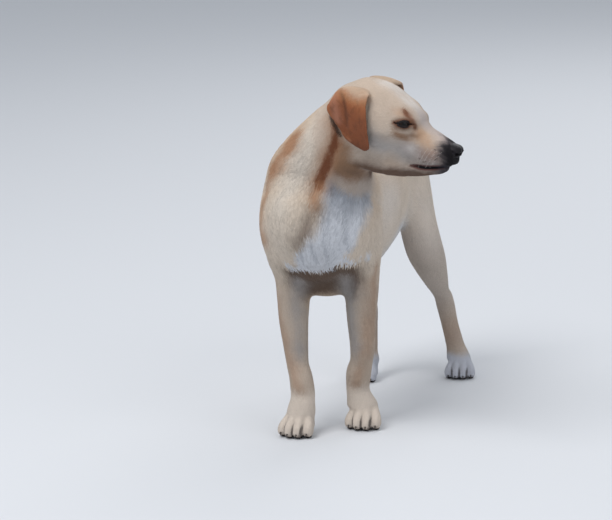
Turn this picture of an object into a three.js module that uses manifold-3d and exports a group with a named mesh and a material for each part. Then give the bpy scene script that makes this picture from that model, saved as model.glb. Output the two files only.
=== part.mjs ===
// A short-coated tan and white dog of Labrador cross type, standing four-square, its head turned to its left.
// Millimetres, +Z up. The dog faces -Y, and its own left side is towards +X.
// Every body part is a closed loft: rings of half-width side, reach up and reach down, along a smooth path.
// The parts are modelled whole, then each is cut back by its neighbour, so that they meet across a thin gap.

import * as THREE from 'three';
import { mergeVertices } from 'three/addons/utils/BufferGeometryUtils.js';
import Module from 'manifold-3d';

const wasm = await Module();
wasm.setup();

// ---- driving dimensions ----
const GAP = 0.35;            // clear space between two parts that meet
const HEAD_YAW = 84;         // degrees from the way the body faces, towards the dog's left
const HEAD_PITCH = 15;       // degrees, nose down
const HEAD_ORIGIN = new THREE.Vector3(65, -50, 624);   // back of the skull, at the level of the brow
const EYE_RADIUS = 11.5;
const EYE = { x: 126, y: 36, z: -17 };                // in the head's own frame
const FLOOR_CUT = { width: 400, depth: 60 };          // the block that trims the pads flat at floor level
const END_BULGE = 0.35;      // a loft's end stands out by this share of its smallest reach
const WELD = 1e-4;           // vertices closer than this become one

const X = new THREE.Vector3(1, 0, 0);
const Z = new THREE.Vector3(0, 0, 1);
const vec = (a) => new THREE.Vector3(...a);

// ---- the head's own frame: x forward along the face, y to its left, z up ----
const yaw = THREE.MathUtils.degToRad(HEAD_YAW);
const pitch = THREE.MathUtils.degToRad(HEAD_PITCH);
const faceLevel = new THREE.Vector3(Math.sin(yaw), -Math.cos(yaw), 0);
const faceLeft = Z.clone().cross(faceLevel);
const faceForward = faceLevel.clone().multiplyScalar(Math.cos(pitch)).addScaledVector(Z, -Math.sin(pitch));
const faceUp = faceForward.clone().cross(faceLeft);
const headFrame = new THREE.Matrix4().makeBasis(faceForward, faceLeft, faceUp).setPosition(HEAD_ORIGIN);

// A smooth run through one value, or one vector, for each station.
function through(vectors) {
  return new THREE.CatmullRomCurve3(vectors, false, 'catmullrom', 0.5);
}

// A closed loft. Each station holds at, side, up and down, and if need be lateral, square and bow.
// square below 1 makes the ring boxier, and bow bends a flat ring's edges towards its upper side.
// A ring's point is centre + lateral * side * c + upward * (up or down) * s + upward * bow * c^2,
// where c and s are the cosine and sine of its angle. around is the points in a ring, rings is how many,
// grow adds to every reach, and sheared keeps each ring along its lateral where the path slants past it.
function loft(stations, { around = 16, rings = 16, grow = 0, frame = null, sheared = false } = {}) {
  const centres = through(stations.map((s) => vec(s.at)));
  const reach = through(stations.map((s) => new THREE.Vector3(s.side, s.up, s.down)));
  const lateral = through(stations.map((s) => (s.lateral ? vec(s.lateral) : X.clone())));
  const extra = through(stations.map((s) => new THREE.Vector3(s.square ?? 1, s.bow ?? 0, 0)));
  const geometry = new THREE.SphereGeometry(1, around, rings + 1);
  const position = geometry.getAttribute('position');
  const power = (value, exponent) => Math.sign(value) * Math.abs(value) ** exponent;
  for (let i = 0; i < position.count; i++) {
    const column = i % (around + 1);
    const row = Math.floor(i / (around + 1));
    const t = THREE.MathUtils.clamp((row - 1) / (rings - 1), 0, 1);
    const angle = (column % around) / around * 2 * Math.PI;
    const centre = centres.getPoint(t);
    const tangent = centres.getTangent(t);
    const side = lateral.getPoint(t);
    if (!sheared) side.addScaledVector(tangent, -side.dot(tangent));
    side.normalize();
    const upward = tangent.clone().cross(side).normalize();
    const size = reach.getPoint(t);
    const { x: square, y: bow } = extra.getPoint(t);
    const isPole = row === 0 || row === rings + 1;
    const c = isPole ? 0 : power(Math.cos(angle), square);
    const s = isPole ? 0 : power(Math.sin(angle), square);
    const endwise = isPole ? Math.sign(row - 1) * (END_BULGE * Math.min(size.x, size.y, size.z) + grow) : 0;
    centre.addScaledVector(side, (size.x + grow) * c)
      .addScaledVector(upward, ((s > 0 ? size.y : size.z) + grow) * s + bow * c * c)
      .addScaledVector(tangent, endwise);
    position.setXYZ(i, centre.x, centre.y, centre.z);
  }
  if (frame) geometry.applyMatrix4(frame);
  return geometry;
}

// ---- solids ----
function solid(geometry) {
  const bare = geometry.clone();
  bare.deleteAttribute('normal');
  bare.deleteAttribute('uv');
  const merged = mergeVertices(bare, WELD);
  const whole = (triVerts) => new wasm.Manifold(new wasm.Mesh({
    numProp: 3, vertProperties: new Float32Array(merged.attributes.position.array), triVerts,
  }));
  const made = whole(new Uint32Array(merged.index.array));
  if (made.volume() > 0) return made;
  const turned = new Uint32Array(merged.index.array);
  for (let i = 0; i < turned.length; i += 3) [turned[i + 1], turned[i + 2]] = [turned[i + 2], turned[i + 1]];
  return whole(turned);
}
const union = (solids) => solids.reduce((a, b) => a.add(b));
const sphere = (radius, at, frame) => {
  const geometry = new THREE.SphereGeometry(radius, 12, 8).translate(...at);
  return frame ? geometry.applyMatrix4(frame) : geometry;
};

// The largest body of a solid: a cut can leave slivers, which are dropped.
function largest(made) {
  return made.decompose().sort((a, b) => b.volume() - a.volume())[0];
}

function geometryOf(made) {
  const { numProp, numVert, vertProperties, triVerts } = made.getMesh();
  const points = new Float32Array(numVert * 3);
  for (let i = 0; i < numVert; i++) points.set(vertProperties.subarray(i * numProp, i * numProp + 3), i * 3);
  const geometry = new THREE.BufferGeometry();
  geometry.setAttribute('position', new THREE.BufferAttribute(points, 3));
  geometry.setIndex(new THREE.BufferAttribute(triVerts, 1));
  geometry.computeVertexNormals();
  return geometry;
}

// ---- trunk, from the buttocks to the front of the chest ----
const TRUNK = [
  { at: [2, 460, 400], side: 28, up: 28, down: 34 },
  { at: [1, 444, 404], side: 45, up: 48, down: 58 },
  { at: [0, 408, 408], side: 58, up: 62, down: 80 },
  { at: [-2, 350, 410], side: 68, up: 70, down: 106, square: 0.9 },
  { at: [-3, 290, 408], side: 78, up: 74, down: 125, square: 0.86 },
  { at: [-5, 225, 402], side: 87, up: 82, down: 133, square: 0.86 },
  { at: [-8, 155, 396], side: 95, up: 91, down: 141, square: 0.88 },
  { at: [-10, 90, 393], side: 97, up: 101, down: 150, square: 0.9 },
  { at: [-11, 30, 391], side: 98, up: 112, down: 154, square: 0.92 },
  { at: [-8, -20, 384], side: 95, up: 108, down: 144, square: 0.92 },
  { at: [-2, -54, 374], side: 80, up: 86, down: 102, square: 0.92 },
  { at: [3, -76, 366], side: 52, up: 54, down: 58 },
];

// ---- neck, rising out of the chest and bending to the dog's left; side is its nape and throat ----
const NECK = [
  { at: [-10, 30, 408], side: 96, up: 70, down: 80 },
  { at: [-5, 2, 448], side: 99, up: 74, down: 78 },
  { at: [16, -24, 488], side: 87, up: 68, down: 64 },
  { at: [39, -40, 523], side: 73, up: 62, down: 60 },
  { at: [64, -48, 553], side: 63, up: 55, down: 55 },
  { at: [92, -51, 574], side: 54, up: 50, down: 50 },
];

// ---- head, in its own frame ----
const HEAD_LATERAL = [0, 1, 0];
const SKULL = [
  { at: [-14, 0, -22], side: 22, up: 18, down: 30 },
  { at: [0, 0, -22], side: 42, up: 35, down: 52 },
  { at: [22, 0, -24], side: 55, up: 54, down: 66 },
  { at: [48, 0, -26], side: 60, up: 61, down: 74 },
  { at: [76, 0, -28], side: 62, up: 60, down: 76 },
  { at: [102, 0, -32], side: 59, up: 52, down: 71 },
  { at: [122, 0, -38], side: 51, up: 47, down: 62 },
  { at: [140, 0, -46], side: 40, up: 40, down: 49 },
  { at: [158, 0, -51], side: 34, up: 34, down: 40, square: 0.9 },
  { at: [180, 0, -53], side: 30.5, up: 30, down: 33, square: 0.85 },
  { at: [202, 0, -53], side: 27.5, up: 24, down: 27, square: 0.85 },
  { at: [215, 0, -53], side: 24, up: 19, down: 21, square: 0.85 },
  { at: [222, 0, -53], side: 18, up: 13, down: 14 },
].map((s) => ({ ...s, lateral: HEAD_LATERAL }));
const JAW = [
  { at: [50, 0, -92], side: 28, up: 14, down: 20 },
  { at: [74, 0, -97], side: 37, up: 22, down: 27 },
  { at: [108, 0, -98], side: 35, up: 20, down: 23 },
  { at: [140, 0, -95], side: 29, up: 16, down: 19 },
  { at: [170, 0, -88], side: 25, up: 14, down: 16, square: 0.9 },
  { at: [196, 0, -80], side: 21, up: 11, down: 12, square: 0.9 },
  { at: [210, 0, -76], side: 13, up: 7, down: 8 },
].map((s) => ({ ...s, lateral: HEAD_LATERAL }));
const NOSE = [
  { at: [209, 0, -46], side: 15, up: 12, down: 11 },
  { at: [217, 0, -46], side: 19, up: 15, down: 12 },
  { at: [225, 0, -45], side: 18.5, up: 13.5, down: 12, square: 0.8 },
  { at: [230, 0, -44], side: 13, up: 10, down: 9, square: 0.8 },
].map((s) => ({ ...s, lateral: HEAD_LATERAL }));
// One ear: it leaves the skull, folds over and hangs forwards. hand is -1 on the right and +1 on the left,
// and dip is how far the ear's width slopes down towards its front edge. The left ear is pricked a little forwards.
const EAR_LEFT_SHIFT = [12, 0, 8];
const earStations = (hand) => [
  { at: [34, 36, 12], side: 19, up: 5, down: 5, dip: -0.1 },
  { at: [34, 48, 17], side: 27, up: 4.4, down: 4.4, bow: -4, dip: -0.12 },
  { at: [34, 58.5, 9], side: 31, up: 3.6, down: 3.6, bow: 1, dip: -0.2 },
  { at: [35, 63, -6], side: 34, up: 3.2, down: 3.2, bow: 6, dip: -0.1 },
  { at: [40, 65.5, -27], side: 39, up: 3, down: 3, bow: 8, dip: 0.08 },
  { at: [52, 65.5, -46], side: 35, up: 2.7, down: 2.7, bow: 6, dip: 0.2 },
  { at: [60, 63, -60], side: 30, up: 2.4, down: 2.4, bow: 3, dip: 0.28 },
  { at: [61, 60, -71], side: 21, up: 2, down: 2, dip: 0.28 },
].map(({ at, dip, bow = 0, ...s }) => {
  const [x, y, z] = at.map((value, k) => value + (hand > 0 ? EAR_LEFT_SHIFT[k] : 0));
  return { ...s, at: [x, hand * y, z], bow: -hand * bow, lateral: [1, 0, -dip] };
});

// ---- legs: stations from the top down; up is the front of the leg and down its back ----
const FORELEG_RIGHT = [
  { at: [-58, 56, 466], side: 16, up: 28, down: 24 },
  { at: [-72, 34, 430], side: 31, up: 50, down: 46 },
  { at: [-79, 0, 380], side: 36, up: 58, down: 58 },
  { at: [-77, 6, 325], side: 32, up: 50, down: 54 },
  { at: [-71, 13, 278], side: 29, up: 36, down: 42 },
  { at: [-66, 8, 240], side: 30, up: 30, down: 32 },
  { at: [-64, 0, 200], side: 27.5, up: 25, down: 26 },
  { at: [-59, -8, 155], side: 23.5, up: 20, down: 21 },
  { at: [-54, -15, 122], side: 21, up: 18, down: 19 },
  { at: [-47, -20, 98], side: 22, up: 20, down: 20 },
  { at: [-42, -28, 68], side: 23, up: 18, down: 20 },
  { at: [-44, -36, 42], side: 25, up: 19, down: 22 },
];
const FORELEG_LEFT = [
  { at: [48, 60, 466], side: 16, up: 28, down: 24 },
  { at: [60, 42, 430], side: 30, up: 50, down: 46 },
  { at: [64, 14, 378], side: 33, up: 58, down: 58 },
  { at: [62, 24, 322], side: 30, up: 48, down: 54 },
  { at: [57, 34, 278], side: 29, up: 36, down: 42 },
  { at: [54, 32, 240], side: 30, up: 30, down: 32 },
  { at: [53, 30, 200], side: 27, up: 25, down: 26 },
  { at: [53, 31, 155], side: 24, up: 20, down: 21 },
  { at: [49.5, 33, 122], side: 21.5, up: 18, down: 19 },
  { at: [43, 35, 98], side: 23.5, up: 20, down: 20 },
  { at: [40, 37, 68], side: 22, up: 18, down: 20 },
  { at: [43, 38, 42], side: 24, up: 19, down: 22 },
];
const HINDLEG_LEFT = [
  { at: [32, 406, 452], side: 26, up: 34, down: 28 },
  { at: [38, 394, 410], side: 31, up: 60, down: 52 },
  { at: [45, 382, 360], side: 33, up: 62, down: 64 },
  { at: [57, 372, 310], side: 33, up: 54, down: 60 },
  { at: [68, 371, 265], side: 34, up: 47, down: 47 },
  { at: [75, 388, 228], side: 31, up: 37, down: 38 },
  { at: [78, 417, 188], side: 23.5, up: 25, down: 28 },
  { at: [80, 442, 156], side: 16.5, up: 17, down: 23 },
  { at: [84, 455, 130], side: 18, up: 19, down: 20 },
  { at: [93, 450, 95], side: 17, up: 16, down: 16 },
  { at: [104, 441, 62], side: 18, up: 16, down: 16 },
  { at: [113, 433, 38], side: 21, up: 17, down: 17 },
];
const HINDLEG_RIGHT = [
  { at: [-32, 404, 452], side: 26, up: 34, down: 28 },
  { at: [-38, 392, 410], side: 31, up: 60, down: 52 },
  { at: [-46, 374, 360], side: 33, up: 62, down: 64 },
  { at: [-55, 353, 310], side: 33, up: 54, down: 60 },
  { at: [-59, 343, 265], side: 34, up: 47, down: 47 },
  { at: [-60, 351, 228], side: 31, up: 37, down: 38 },
  { at: [-58, 371, 188], side: 23.5, up: 25, down: 28 },
  { at: [-55, 392, 156], side: 17, up: 17, down: 23 },
  { at: [-53, 403, 130], side: 18, up: 19, down: 20 },
  { at: [-51, 397, 95], side: 17, up: 16, down: 16 },
  { at: [-49, 385, 62], side: 18, up: 16, down: 16 },
  { at: [-49, 375, 38], side: 21, up: 17, down: 17 },
];
const TAIL = [
  { at: [0, 436, 432], side: 24, up: 20, down: 20 },
  { at: [4, 464, 424], side: 20, up: 17, down: 17 },
  { at: [12, 482, 394], side: 16, up: 15, down: 15 },
  { at: [24, 492, 345], side: 13, up: 13, down: 13 },
  { at: [36, 493, 290], side: 11, up: 11, down: 11 },
  { at: [48, 487, 235], side: 8, up: 8, down: 8 },
  { at: [56, 478, 190], side: 3, up: 3, down: 3 },
];

// ---- paws ----
const FORE_PAW = { width: 66, length: 84, height: 44 };
const HIND_PAW = { width: 58, length: 76, height: 38 };
// Each toe's place across the paw and how far it reaches forwards, as shares of the paw's width and length.
const TOES = [[-0.36, 0.36], [-0.125, 0.47], [0.125, 0.47], [0.36, 0.36]];
const TOE_RADIUS = 0.145;    // as a share of the paw's width
// A paw at [x, y] on the floor, turned by `turn` degrees: a wrist block, four toes and four claws.
function paw(x, y, turn, { width, length, height }) {
  const frame = new THREE.Matrix4().makeRotationZ(THREE.MathUtils.degToRad(turn)).setPosition(x, y, 0);
  const parts = [solid(loft([
    { at: [0, 0.14 * length, 0.95 * height], side: 0.3 * width, up: 0.2 * length, down: 0.2 * length },
    { at: [0, 0.05 * length, 0.7 * height], side: 0.37 * width, up: 0.27 * length, down: 0.28 * length },
    { at: [0, 0.04 * length, 0.3 * height], side: 0.38 * width, up: 0.3 * length, down: 0.3 * length },
    { at: [0, 0.08 * length, 0.02 * height], side: 0.26 * width, up: 0.2 * length, down: 0.22 * length },
    { at: [0, 0.08 * length, -0.05 * height], side: 0.16 * width, up: 0.1 * length, down: 0.1 * length },
  ], { around: 10, rings: 5, frame }))];
  for (const [place, reach] of TOES) {
    const out = place * width;
    const tip = -reach * length;
    const radius = TOE_RADIUS * width;
    const ring = (across, along, up, side, above, below) => ({
      at: [across * out, tip + along * length, up * height],
      side: side * radius, up: above * radius, down: below * radius,
    });
    parts.push(solid(loft([
      ring(0.62, 0.42, 0.74, 0.7, 0.8, 0.8),
      ring(0.86, 0.26, 0.6, 1, 1.1, 1.3),
      ring(1, 0.12, 0.33, 1.05, 1.2, 1.5),
      ring(1, 0.03, 0.16, 0.8, 0.7, 0.9),
    ], { around: 7, rings: 4, frame })));
    parts.push(solid(loft([
      { at: [out, tip + 0.07 * length, 0.3 * height], side: 2.6, up: 3.2, down: 3.2 },
      { at: [out, tip - 0.03 * length, 0.2 * height], side: 2.2, up: 2.6, down: 2.6 },
      { at: [out, tip - 0.075 * length, 0.07 * height], side: 0.9, up: 0.9, down: 0.9 },
    ], { around: 5, rings: 3, frame })));
  }
  const floor = solid(new THREE.BoxGeometry(FLOOR_CUT.width, FLOOR_CUT.width, FLOOR_CUT.depth)
    .translate(x, y, -FLOOR_CUT.depth / 2));
  return union(parts).subtract(floor);
}

// ---- bodies, whole ----
const trunkLoft = (grow) => solid(loft(TRUNK, { around: 22, rings: 18, grow }));
const neckLoft = (grow) => solid(loft(NECK, { around: 20, rings: 9, grow }));
const skullLoft = (grow) => solid(loft(SKULL, { around: 22, rings: 20, grow, frame: headFrame }));
const jawLoft = (grow) => solid(loft(JAW, { around: 14, rings: 10, grow, frame: headFrame }));
const noseLoft = (grow) => solid(loft(NOSE, { around: 12, rings: 6, grow, frame: headFrame }));
const eyeAt = (hand) => [EYE.x, hand * EYE.y, EYE.z];
const earOptions = { around: 12, rings: 11, frame: headFrame, sheared: true };
const earLoft = (hand) => solid(loft(earStations(hand), earOptions));

const bodies = (grow) => ({
  trunk: trunkLoft(grow), neck: neckLoft(grow),
  head: skullLoft(grow), jaw: jawLoft(grow), nose: noseLoft(grow),
});
const whole = bodies(0);
const grown = bodies(GAP);

const PARTS = {};
PARTS.trunk = whole.trunk;
PARTS.neck = whole.neck.subtract(grown.trunk).subtract(grown.head).subtract(grown.jaw);
PARTS.head = whole.head.subtract(grown.nose).subtract(grown.jaw);
PARTS.lower_jaw = whole.jaw;
PARTS.nose = whole.nose;
for (const [name, hand] of [['left', 1], ['right', -1]]) {
  PARTS[`eye_${name}`] = solid(sphere(EYE_RADIUS, eyeAt(hand), headFrame));
  PARTS.head = PARTS.head.subtract(solid(sphere(EYE_RADIUS + GAP, eyeAt(hand), headFrame)));
  PARTS[`ear_${name}`] = earLoft(hand).subtract(grown.head).subtract(grown.neck);
}

const LEGS = {
  foreleg_left: { stations: FORELEG_LEFT, foot: [53, 36, 4, FORE_PAW] },
  foreleg_right: { stations: FORELEG_RIGHT, foot: [-46, -38, -4, FORE_PAW] },
  hindleg_left: { stations: HINDLEG_LEFT, foot: [121, 421, 10, HIND_PAW] },
  hindleg_right: { stations: HINDLEG_RIGHT, foot: [-50, 364, -6, HIND_PAW] },
};
for (const [name, { stations, foot }] of Object.entries(LEGS)) {
  const pawWhole = paw(...foot);
  const options = { around: 12, rings: 15 };
  const leg = solid(loft(stations, options));
  const legGrown = solid(loft(stations, { ...options, grow: GAP }));
  PARTS[name.replace('leg', 'paw')] = pawWhole.subtract(legGrown);
  PARTS[name] = leg.subtract(grown.trunk).subtract(grown.neck).subtract(whole.neck);
}
PARTS.tail = solid(loft(TAIL, { around: 10, rings: 10 })).subtract(grown.trunk);

// ---- finish ----
const COLOURS = {
  coat: [0xd9b98c, 0.85], white: [0xe6e2dc, 0.85], ear: [0xb9763f, 0.85],
  nose: [0x1d1a1c, 0.4], eye: [0x1a0f0a, 0.1],
};
const finishOf = (name) => (name.startsWith('eye') ? 'eye' : name.startsWith('ear') ? 'ear'
  : name === 'nose' ? 'nose' : name.includes('paw') ? 'white' : 'coat');

const dog = new THREE.Group();
for (const [name, made] of Object.entries(PARTS)) {
  const [color, roughness] = COLOURS[finishOf(name)];
  const material = new THREE.MeshStandardMaterial({ color, roughness, metalness: 0 });
  const mesh = new THREE.Mesh(geometryOf(largest(made)), material);
  mesh.name = name;
  dog.add(mesh);
}

// The origin is the middle of the floor under the whole dog.
const extent = new THREE.Box3().setFromObject(dog);
const middle = extent.getCenter(new THREE.Vector3());
dog.position.set(-middle.x, -middle.y, -extent.min.z);

export default dog;
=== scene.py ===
"""A short-coated tan and white dog, standing with its head turned to its left.

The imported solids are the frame. Round them this script makes one skin, a coat of mesh tufts that lie along
it, and the eyes, eyelid rims, nose, claws, pads and whiskers. Tables are in the dog's own frame, in
millimetres: +Z up, the dog facing -Y, its left side towards +X. Shapes on the head are in the head's own
frame: x forward along the face, y to its left, z up.
"""

import math

import bpy
import numpy as np
import openvdb
from mathutils import Matrix, Vector


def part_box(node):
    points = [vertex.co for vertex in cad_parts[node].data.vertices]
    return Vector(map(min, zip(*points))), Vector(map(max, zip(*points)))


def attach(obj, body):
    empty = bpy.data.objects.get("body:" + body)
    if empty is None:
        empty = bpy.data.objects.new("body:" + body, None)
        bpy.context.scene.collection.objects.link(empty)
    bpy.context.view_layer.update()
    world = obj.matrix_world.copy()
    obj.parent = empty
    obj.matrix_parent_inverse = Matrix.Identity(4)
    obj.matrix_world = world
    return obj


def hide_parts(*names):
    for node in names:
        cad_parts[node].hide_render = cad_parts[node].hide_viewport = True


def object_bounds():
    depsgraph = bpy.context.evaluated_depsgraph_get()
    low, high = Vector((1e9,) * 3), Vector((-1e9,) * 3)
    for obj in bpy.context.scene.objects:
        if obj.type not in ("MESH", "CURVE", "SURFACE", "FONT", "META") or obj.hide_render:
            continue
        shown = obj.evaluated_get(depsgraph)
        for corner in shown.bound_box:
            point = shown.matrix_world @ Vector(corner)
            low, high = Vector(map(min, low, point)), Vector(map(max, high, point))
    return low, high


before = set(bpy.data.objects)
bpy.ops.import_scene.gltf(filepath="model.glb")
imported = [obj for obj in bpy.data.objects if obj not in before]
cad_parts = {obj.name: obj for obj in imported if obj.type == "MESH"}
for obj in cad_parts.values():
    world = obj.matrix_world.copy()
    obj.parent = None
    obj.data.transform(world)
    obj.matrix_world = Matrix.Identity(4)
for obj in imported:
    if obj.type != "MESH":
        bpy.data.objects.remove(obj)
cad_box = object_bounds()

MM = 0.001
rng = np.random.default_rng(7)

# ---- the head's own frame ----
HEAD_YAW, HEAD_PITCH = math.radians(84), math.radians(15)
HEAD_ORIGIN = np.array([65.0, -50.0, 624.0])
EYE = np.array([126.0, 36.0, -17.0])
EYE_RADIUS = 11.5
UP = np.array([0.0, 0.0, 1.0])
face_level = np.array([math.sin(HEAD_YAW), -math.cos(HEAD_YAW), 0.0])
face_left = np.cross(UP, face_level)
face_forward = face_level * math.cos(HEAD_PITCH) - UP * math.sin(HEAD_PITCH)
HEAD_AXES = np.array([face_forward, face_left, np.cross(face_forward, face_left)])


HEAD_MIDDLE = np.array([110, 0, -40])


def from_head(points):
    """Points of the head's frame, in the dog's frame."""
    return HEAD_ORIGIN + np.asarray(points, float) @ HEAD_AXES


def to_head(points):
    """Points of the dog's frame, in the head's frame."""
    return (points - HEAD_ORIGIN) @ HEAD_AXES.T


def folded(local):
    """Points of the head, with its right half mirrored onto its left."""
    return local * [1, 0, 1] + np.abs(local) * [0, 1, 0]


def off_middle(local):
    """How far each point is from the middle of the head."""
    return np.linalg.norm(local - HEAD_MIDDLE, axis=1)


# The solids hold the right eye at EYE, so its box says where the dog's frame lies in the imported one.
low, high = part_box("eye_right")
SHIFT = (np.array(low) + np.array(high)) / 2 - from_head(EYE * [1, -1, 1]) * MM


def to_row(points):
    """Points of the dog's frame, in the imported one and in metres."""
    return points * MM + SHIFT


# ---- lofts ----
# Each row is x, y, z, half-width, reach up and reach down, or ahead and behind where the path goes down, and
# if need be how boxy the ring is: below 1 is boxier.
TRUNK = [
    (2, 460, 400, 28, 28, 34),
    (1, 444, 404, 45, 48, 58),
    (0, 408, 408, 58, 62, 80),
    (-2, 350, 410, 68, 70, 106, 0.9),
    (-3, 290, 408, 78, 74, 125, 0.86),
    (-5, 225, 402, 87, 82, 133, 0.86),
    (-8, 155, 396, 95, 91, 141, 0.88),
    (-10, 90, 393, 97, 101, 150, 0.9),
    (-11, 30, 391, 98, 112, 154, 0.92),
    (-8, -20, 384, 95, 108, 144, 0.92),
    (-2, -54, 374, 80, 86, 102, 0.92),
    (3, -76, 366, 52, 54, 58),
]
NECK = [
    (-10, 30, 408, 96, 70, 80),
    (-5, 2, 448, 99, 74, 78),
    (16, -24, 488, 87, 68, 64),
    (39, -40, 523, 73, 62, 60),
    (64, -48, 553, 63, 55, 55),
    (92, -51, 574, 54, 50, 50),
]
SKULL = [
    (-14, 0, -22, 22, 18, 30),
    (0, 0, -22, 42, 35, 52),
    (22, 0, -24, 55, 54, 66),
    (48, 0, -26, 60, 61, 74),
    (76, 0, -28, 62, 60, 76),
    (102, 0, -32, 59, 52, 71),
    (122, 0, -38, 51, 47, 62),
    (140, 0, -46, 40, 40, 49),
    (158, 0, -51, 34, 34, 40, 0.9),
    (180, 0, -53, 30.5, 30, 33, 0.85),
    (202, 0, -53, 27.5, 24, 27, 0.85),
    (215, 0, -53, 24, 19, 21, 0.85),
    (222, 0, -53, 18, 13, 14),
]
JAW = [
    (50, 0, -92, 28, 14, 20),
    (74, 0, -97, 37, 22, 27),
    (108, 0, -98, 35, 20, 23),
    (140, 0, -95, 29, 16, 19),
    (170, 0, -88, 25, 14, 16, 0.9),
    (196, 0, -80, 21, 11, 12, 0.9),
    (210, 0, -76, 13, 7, 8),
]
FORELEG_RIGHT = [
    (-58, 56, 466, 16, 28, 24),
    (-72, 34, 430, 31, 50, 46),
    (-79, 0, 380, 36, 58, 58),
    (-77, 6, 325, 32, 50, 54),
    (-71, 13, 278, 29, 36, 42),
    (-66, 8, 240, 30, 30, 32),
    (-64, 0, 200, 27.5, 25, 26),
    (-59, -8, 155, 23.5, 20, 21),
    (-54, -15, 122, 21, 18, 19),
    (-47, -20, 98, 22, 20, 20),
    (-42, -28, 68, 23, 18, 20),
    (-44, -34, 42, 22, 17, 17),
]
FORELEG_LEFT = [
    (48, 60, 466, 16, 28, 24),
    (60, 42, 430, 30, 50, 46),
    (64, 14, 378, 33, 58, 58),
    (62, 24, 322, 30, 48, 54),
    (57, 34, 278, 29, 36, 42),
    (54, 32, 240, 30, 30, 32),
    (53, 30, 200, 27, 25, 26),
    (53, 31, 155, 24, 20, 21),
    (49.5, 33, 122, 21.5, 18, 19),
    (43, 35, 98, 23.5, 20, 20),
    (40, 37, 68, 22, 18, 20),
    (43, 38, 42, 24, 19, 22),
]
HINDLEG_LEFT = [
    (32, 406, 452, 26, 34, 28),
    (38, 394, 410, 31, 60, 52),
    (45, 382, 360, 33, 62, 64),
    (57, 372, 310, 33, 54, 60),
    (68, 371, 265, 34, 47, 47),
    (75, 388, 228, 31, 37, 38),
    (78, 417, 188, 23.5, 25, 28),
    (80, 442, 156, 16.5, 17, 23),
    (84, 455, 130, 18, 19, 20),
    (93, 450, 95, 17, 16, 16),
    (104, 441, 62, 18, 16, 16),
    (113, 433, 38, 21, 17, 17),
]
HINDLEG_RIGHT = [
    (-32, 404, 452, 26, 34, 28),
    (-38, 392, 410, 31, 60, 52),
    (-46, 374, 360, 33, 62, 64),
    (-55, 353, 310, 33, 54, 60),
    (-59, 343, 265, 34, 47, 47),
    (-60, 351, 228, 31, 37, 38),
    (-58, 371, 188, 23.5, 25, 28),
    (-55, 392, 156, 17, 17, 23),
    (-53, 403, 130, 18, 19, 20),
    (-51, 397, 95, 17, 16, 16),
    (-49, 385, 62, 18, 16, 16),
    (-49, 375, 38, 21, 17, 17),
]
TAIL = [
    (0, 436, 432, 24, 20, 20),
    (4, 464, 424, 20, 17, 17),
    (12, 482, 394, 16, 15, 15),
    (24, 492, 345, 13, 13, 13),
    (36, 493, 290, 11, 11, 11),
    (48, 487, 235, 8, 8, 8),
    (56, 478, 190, 3, 3, 3),
]
# An ear's rows: x, y, z, half-width, thickness, how far the ring is bent, and how its width slopes to its
# front edge.
EAR = [
    (34, 36, 12, 19, 5, 0, -0.1),
    (34, 48, 17, 27, 4.4, -4, -0.12),
    (34, 58.5, 9, 31, 3.6, 1, -0.2),
    (35, 63, -6, 34, 3.2, 6, -0.1),
    (40, 65.5, -27, 39, 3.0, 8, 0.08),
    (52, 65.5, -46, 35, 2.7, 6, 0.2),
    (60, 63, -60, 30, 2.4, 3, 0.28),
    (61, 60, -71, 21, 2.0, 0, 0.28),
]
EAR_LEFT_SHIFT = np.array([12.0, 0.0, 8.0])     # the left ear is pricked a little forwards
ACROSS = (1.0, 0.0, 0.0)
ACROSS_HEAD = (0.0, 1.0, 0.0)
END_BULGE = 0.35                                # how far a loft's end points stand out, in radii
PLAIN_RING = (1, 0, 0)                          # round, unbent and level, where a row says no more


def filled(rows):
    """Rows as one array of nine columns: the six of a row, then its boxiness, bend and slope."""
    return np.array([tuple(row) + PLAIN_RING[len(row) - 6 :] for row in rows], float)


def smooth_run(values, t):
    """A Catmull-Rom run through the rows of values, and its slope, where t goes from 0 to 1 over all of
    them."""
    padded = np.vstack([2 * values[0] - values[1], values, 2 * values[-1] - values[-2]])
    spans = len(values) - 1
    place = np.clip(t, 0, 1) * spans
    span = np.minimum(place.astype(int), spans - 1)
    f = (place - span)[:, None]
    a, b, c, d = (padded[span + k] for k in range(4))
    first, second, third = (c - a) / 2, a - 2.5 * b + 2 * c - d / 2, (d - a) / 2 + 1.5 * (b - c)
    return b + f * (first + f * (second + f * third)), first + f * (2 * second + 3 * f * third)


def unit(vectors):
    """Each vector divided by its length."""
    return vectors / np.maximum(np.linalg.norm(vectors, axis=-1, keepdims=True), 1e-9)


def turns(count):
    """Angles of count even steps round a full turn."""
    return np.linspace(0, 2 * math.pi, count, endpoint=False)


def strands(roots, rings, tips):
    """Many closed spindles at once, each from its root through its rings to its tip. rings holds, for each
    spindle and each ring, corners that turn right-handed about the way from root to tip. Returns points,
    quads, triangles."""
    count, ring_count, corners = rings.shape[:3]
    points = np.concatenate([rings.reshape(count, -1, 3), roots[:, None], tips[:, None]], 1)
    edge = np.arange(corners)
    turned = (edge + 1) % corners
    root = ring_count * corners + 0 * edge
    last = (ring_count - 1) * corners
    first_fan, last_fan = (root, turned, edge), (root + 1, last + edge, last + turned)
    ends = np.vstack([np.stack(first_fan, -1), np.stack(last_fan, -1)])
    ring = np.arange(ring_count - 1)[:, None] * corners
    sides = np.stack([ring + edge, ring + turned, ring + turned + corners, ring + edge + corners], -1)
    start = np.arange(count)[:, None, None] * points.shape[1]
    quads = (sides.reshape(-1, 4) + start).reshape(-1, 4)
    return points.reshape(-1, 3), quads, (ends + start).reshape(-1, 3)


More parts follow.
